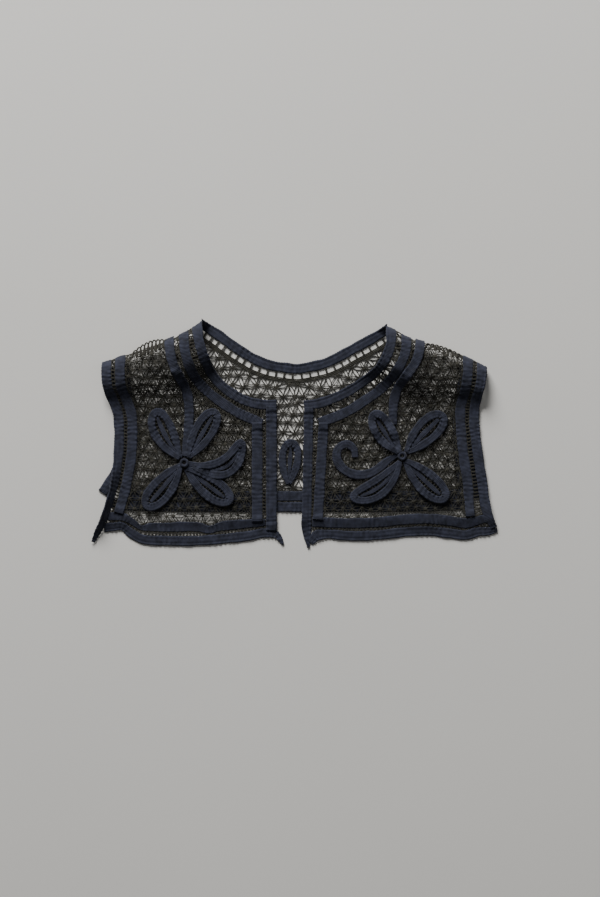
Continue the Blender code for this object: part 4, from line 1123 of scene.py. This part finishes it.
class COLLAR_OT_ladders(bpy.types.Operator):
    """Works the bars between neighbouring tapes."""

    bl_idname = "collar.ladders"
    bl_label = "Work the ladders"

    def execute(self, context):
        sizes, colours = context.scene.collar_sizes, context.scene.collar_colours
        material = finish("twisted cotton thread", twisted_cotton_thread, sizes, colours)
        for cloth, ladders in LADDERS.items():
            curves = curves_of(cloth)
            for name, ladder in ladders.items():
                node = cloth + "_" + name
                outer, inner = (curves[name.replace("ladder", edge).replace("join", edge)]
                                for edge in ("outer", "inner"))
                shape = ladder_mesh(cloth, outer, inner, ladder, sizes)
                solids = [node] if name.endswith("ladder") else []
                add_piece("Bars_" + node, shape, material, "net_thread", *solids)

        # the back's neck: open bars down to a band of three cords
        neck = fine_curve(curves_of("back")["neck"], BACK_BAR_SPACING)[1:-1]
        start, end = edge_line(neck, -1), edge_line(neck, -1, BACK_LADDER_WIDTH)
        parts = bars("back", start, end, 0.55, 0.5, (-0.5, 0.5))
        fine = curves_of("back")["neck"]
        fine = fine[np.abs(fine[:, 0]) < 84.0]
        for cord in np.linspace(0.0, BACK_BAND, 3):
            line = edge_line(fine, -1, BACK_LADDER_WIDTH + cord)
            parts.append(stitched_thread("back", line[None], 0.55, 0.62, 6))
        add_piece("Bars_back_neck", together(parts), material, "net_thread", "back_neck_ladder")
        return {"FINISHED"}


class COLLAR_OT_flowers(bpy.types.Operator):
    """Loops the flowers' tapes on the fronts and the motif on the back."""

    bl_idname = "collar.flowers"
    bl_label = "Loop the flowers"

    def execute(self, context):
        sizes, colours = context.scene.collar_sizes, context.scene.collar_colours
        woven = finish("woven cotton tape", woven_cotton_tape, sizes, colours)
        thread = finish("twisted cotton thread", twisted_cotton_thread, sizes, colours)
        wound = finish("wound cotton thread", wound_cotton_thread, sizes, colours)
        groups = (("back", [BACK_MOTIF]), ("left", LEFT_PETALS), ("right", RIGHT_PETALS))
        for cloth, petals in groups:
            for number, petal in enumerate(petals):
                node = cloth + "_" + petal.name
                shape = petal_threads(cloth, petal, sizes)
                threads = add_piece("Threads_" + node, shape, thread, "net_thread")
                shape = petal_tape(cloth, petal, sizes, sizes.seed + number)
                piece = add_piece("Loop_" + node, shape, woven, "lace_tape", node)
        for cloth, at in (("left", LEFT_RING), ("right", RIGHT_RING)):
            shape = ring_mesh(cloth, at, sizes)
            add_piece("Ring_" + cloth, shape, wound, "net_thread", cloth + "_ring")
        curve = tape_curve("right", "scroll", RIGHT_SCROLL, 1.0)
        shape = tape("right", curve, sizes, TRIM_LIFT, 0.0, 1.5, 0.4, sizes.seed)
        piece = add_piece("Scroll_right", shape, woven, "lace_tape", "right_petal_left")
        return {"FINISHED"}


class COLLAR_OT_stage(bpy.types.Operator):
    """Sets the floor, the soft light and the camera straight above."""

    bl_idname = "collar.stage"
    bl_label = "Set the stage"

    def execute(self, context):
        scene = context.scene
        material = finish("matt studio paint", painted_floor, scene.collar_colours)
        mesh = bpy.data.meshes.new("Floor")
        half = 6.0
        mesh.from_pydata([(-half, -half, 0), (half, -half, 0), (half, half, 0), (-half, half, 0)],
                         [], [(0, 1, 2, 3)])
        mesh.materials.append(material)
        floor = bpy.data.objects.new("Floor", mesh)
        scene.collection.objects.link(floor)

        # a large window-like light beyond the neck, a little to the left, and two weak ones: place
        # and size in metres, power in watts
        for name, place_at, size, power in (
                ("Window", (-0.9, 3.0, 1.64), 1.6, 245.0),
                ("Ceiling", (0.3, -0.2, 2.2), 1.6, 2.0),
                ("Side", (1.3, 0.1, 0.9), 0.8, 1.0)):
            light = bpy.data.lights.new(name, "AREA")
            light.size, light.energy = size, power
            lamp = bpy.data.objects.new(name, light)
            lamp.location = place_at
            lamp.rotation_euler = (-Vector(place_at)).to_track_quat("-Z", "Y").to_euler()
            scene.collection.objects.link(lamp)
        world = bpy.data.worlds.new("Studio")
        world.use_nodes = True
        world.node_tree.nodes["Background"].inputs[0].default_value = (*linear("#e8e9ec"), 1.0)
        world.node_tree.nodes["Background"].inputs[1].default_value = 0.1
        scene.world = world

        # the photograph's frame is 570 by 852 mm on the table, seen from straight above
        camera = bpy.data.cameras.new("Camera")
        distance, frame_height, middle = 2.2, 0.852, (0.0054, -0.0139)
        camera.sensor_width = 36.0
        camera.lens = camera.sensor_width * distance / frame_height
        camera.clip_start, camera.clip_end = 0.05, 20.0
        viewer = bpy.data.objects.new("Camera", camera)
        viewer.location = (*middle, distance)
        scene.collection.objects.link(viewer)
        scene.camera = viewer
        return {"FINISHED"}


class COLLAR_PT_panel(bpy.types.Panel):
    """Lists the collar's sizes, colours and steps."""

    bl_idname = "COLLAR_PT_panel"
    bl_label = "Tape-lace collar"
    bl_space_type = "VIEW_3D"
    bl_region_type = "UI"
    bl_category = "Collar"

    def draw(self, context):
        for group in (context.scene.collar_sizes, context.scene.collar_colours):
            column = self.layout.column()
            for key in group.__annotations__:
                column.prop(group, key)
        for step in STEPS:
            self.layout.operator(step.bl_idname)


STEPS = (COLLAR_OT_stage, COLLAR_OT_nets, COLLAR_OT_tapes, COLLAR_OT_ladders, COLLAR_OT_flowers)
CLASSES = (CollarSizes, CollarColours, *STEPS, COLLAR_PT_panel)


def register():
    for made in CLASSES:
        bpy.utils.register_class(made)
    bpy.types.Scene.collar_sizes = bpy.props.PointerProperty(type=CollarSizes)
    bpy.types.Scene.collar_colours = bpy.props.PointerProperty(type=CollarColours)


def unregister():
    del bpy.types.Scene.collar_colours
    del bpy.types.Scene.collar_sizes
    for made in reversed(CLASSES):
        bpy.utils.unregister_class(made)


def main():
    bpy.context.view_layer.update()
    register()
    bpy.ops.collar.stage()
    bpy.ops.collar.nets()
    bpy.ops.collar.tapes()
    bpy.ops.collar.ladders()
    bpy.ops.collar.flowers()


if __name__ == "__main__":
    main()
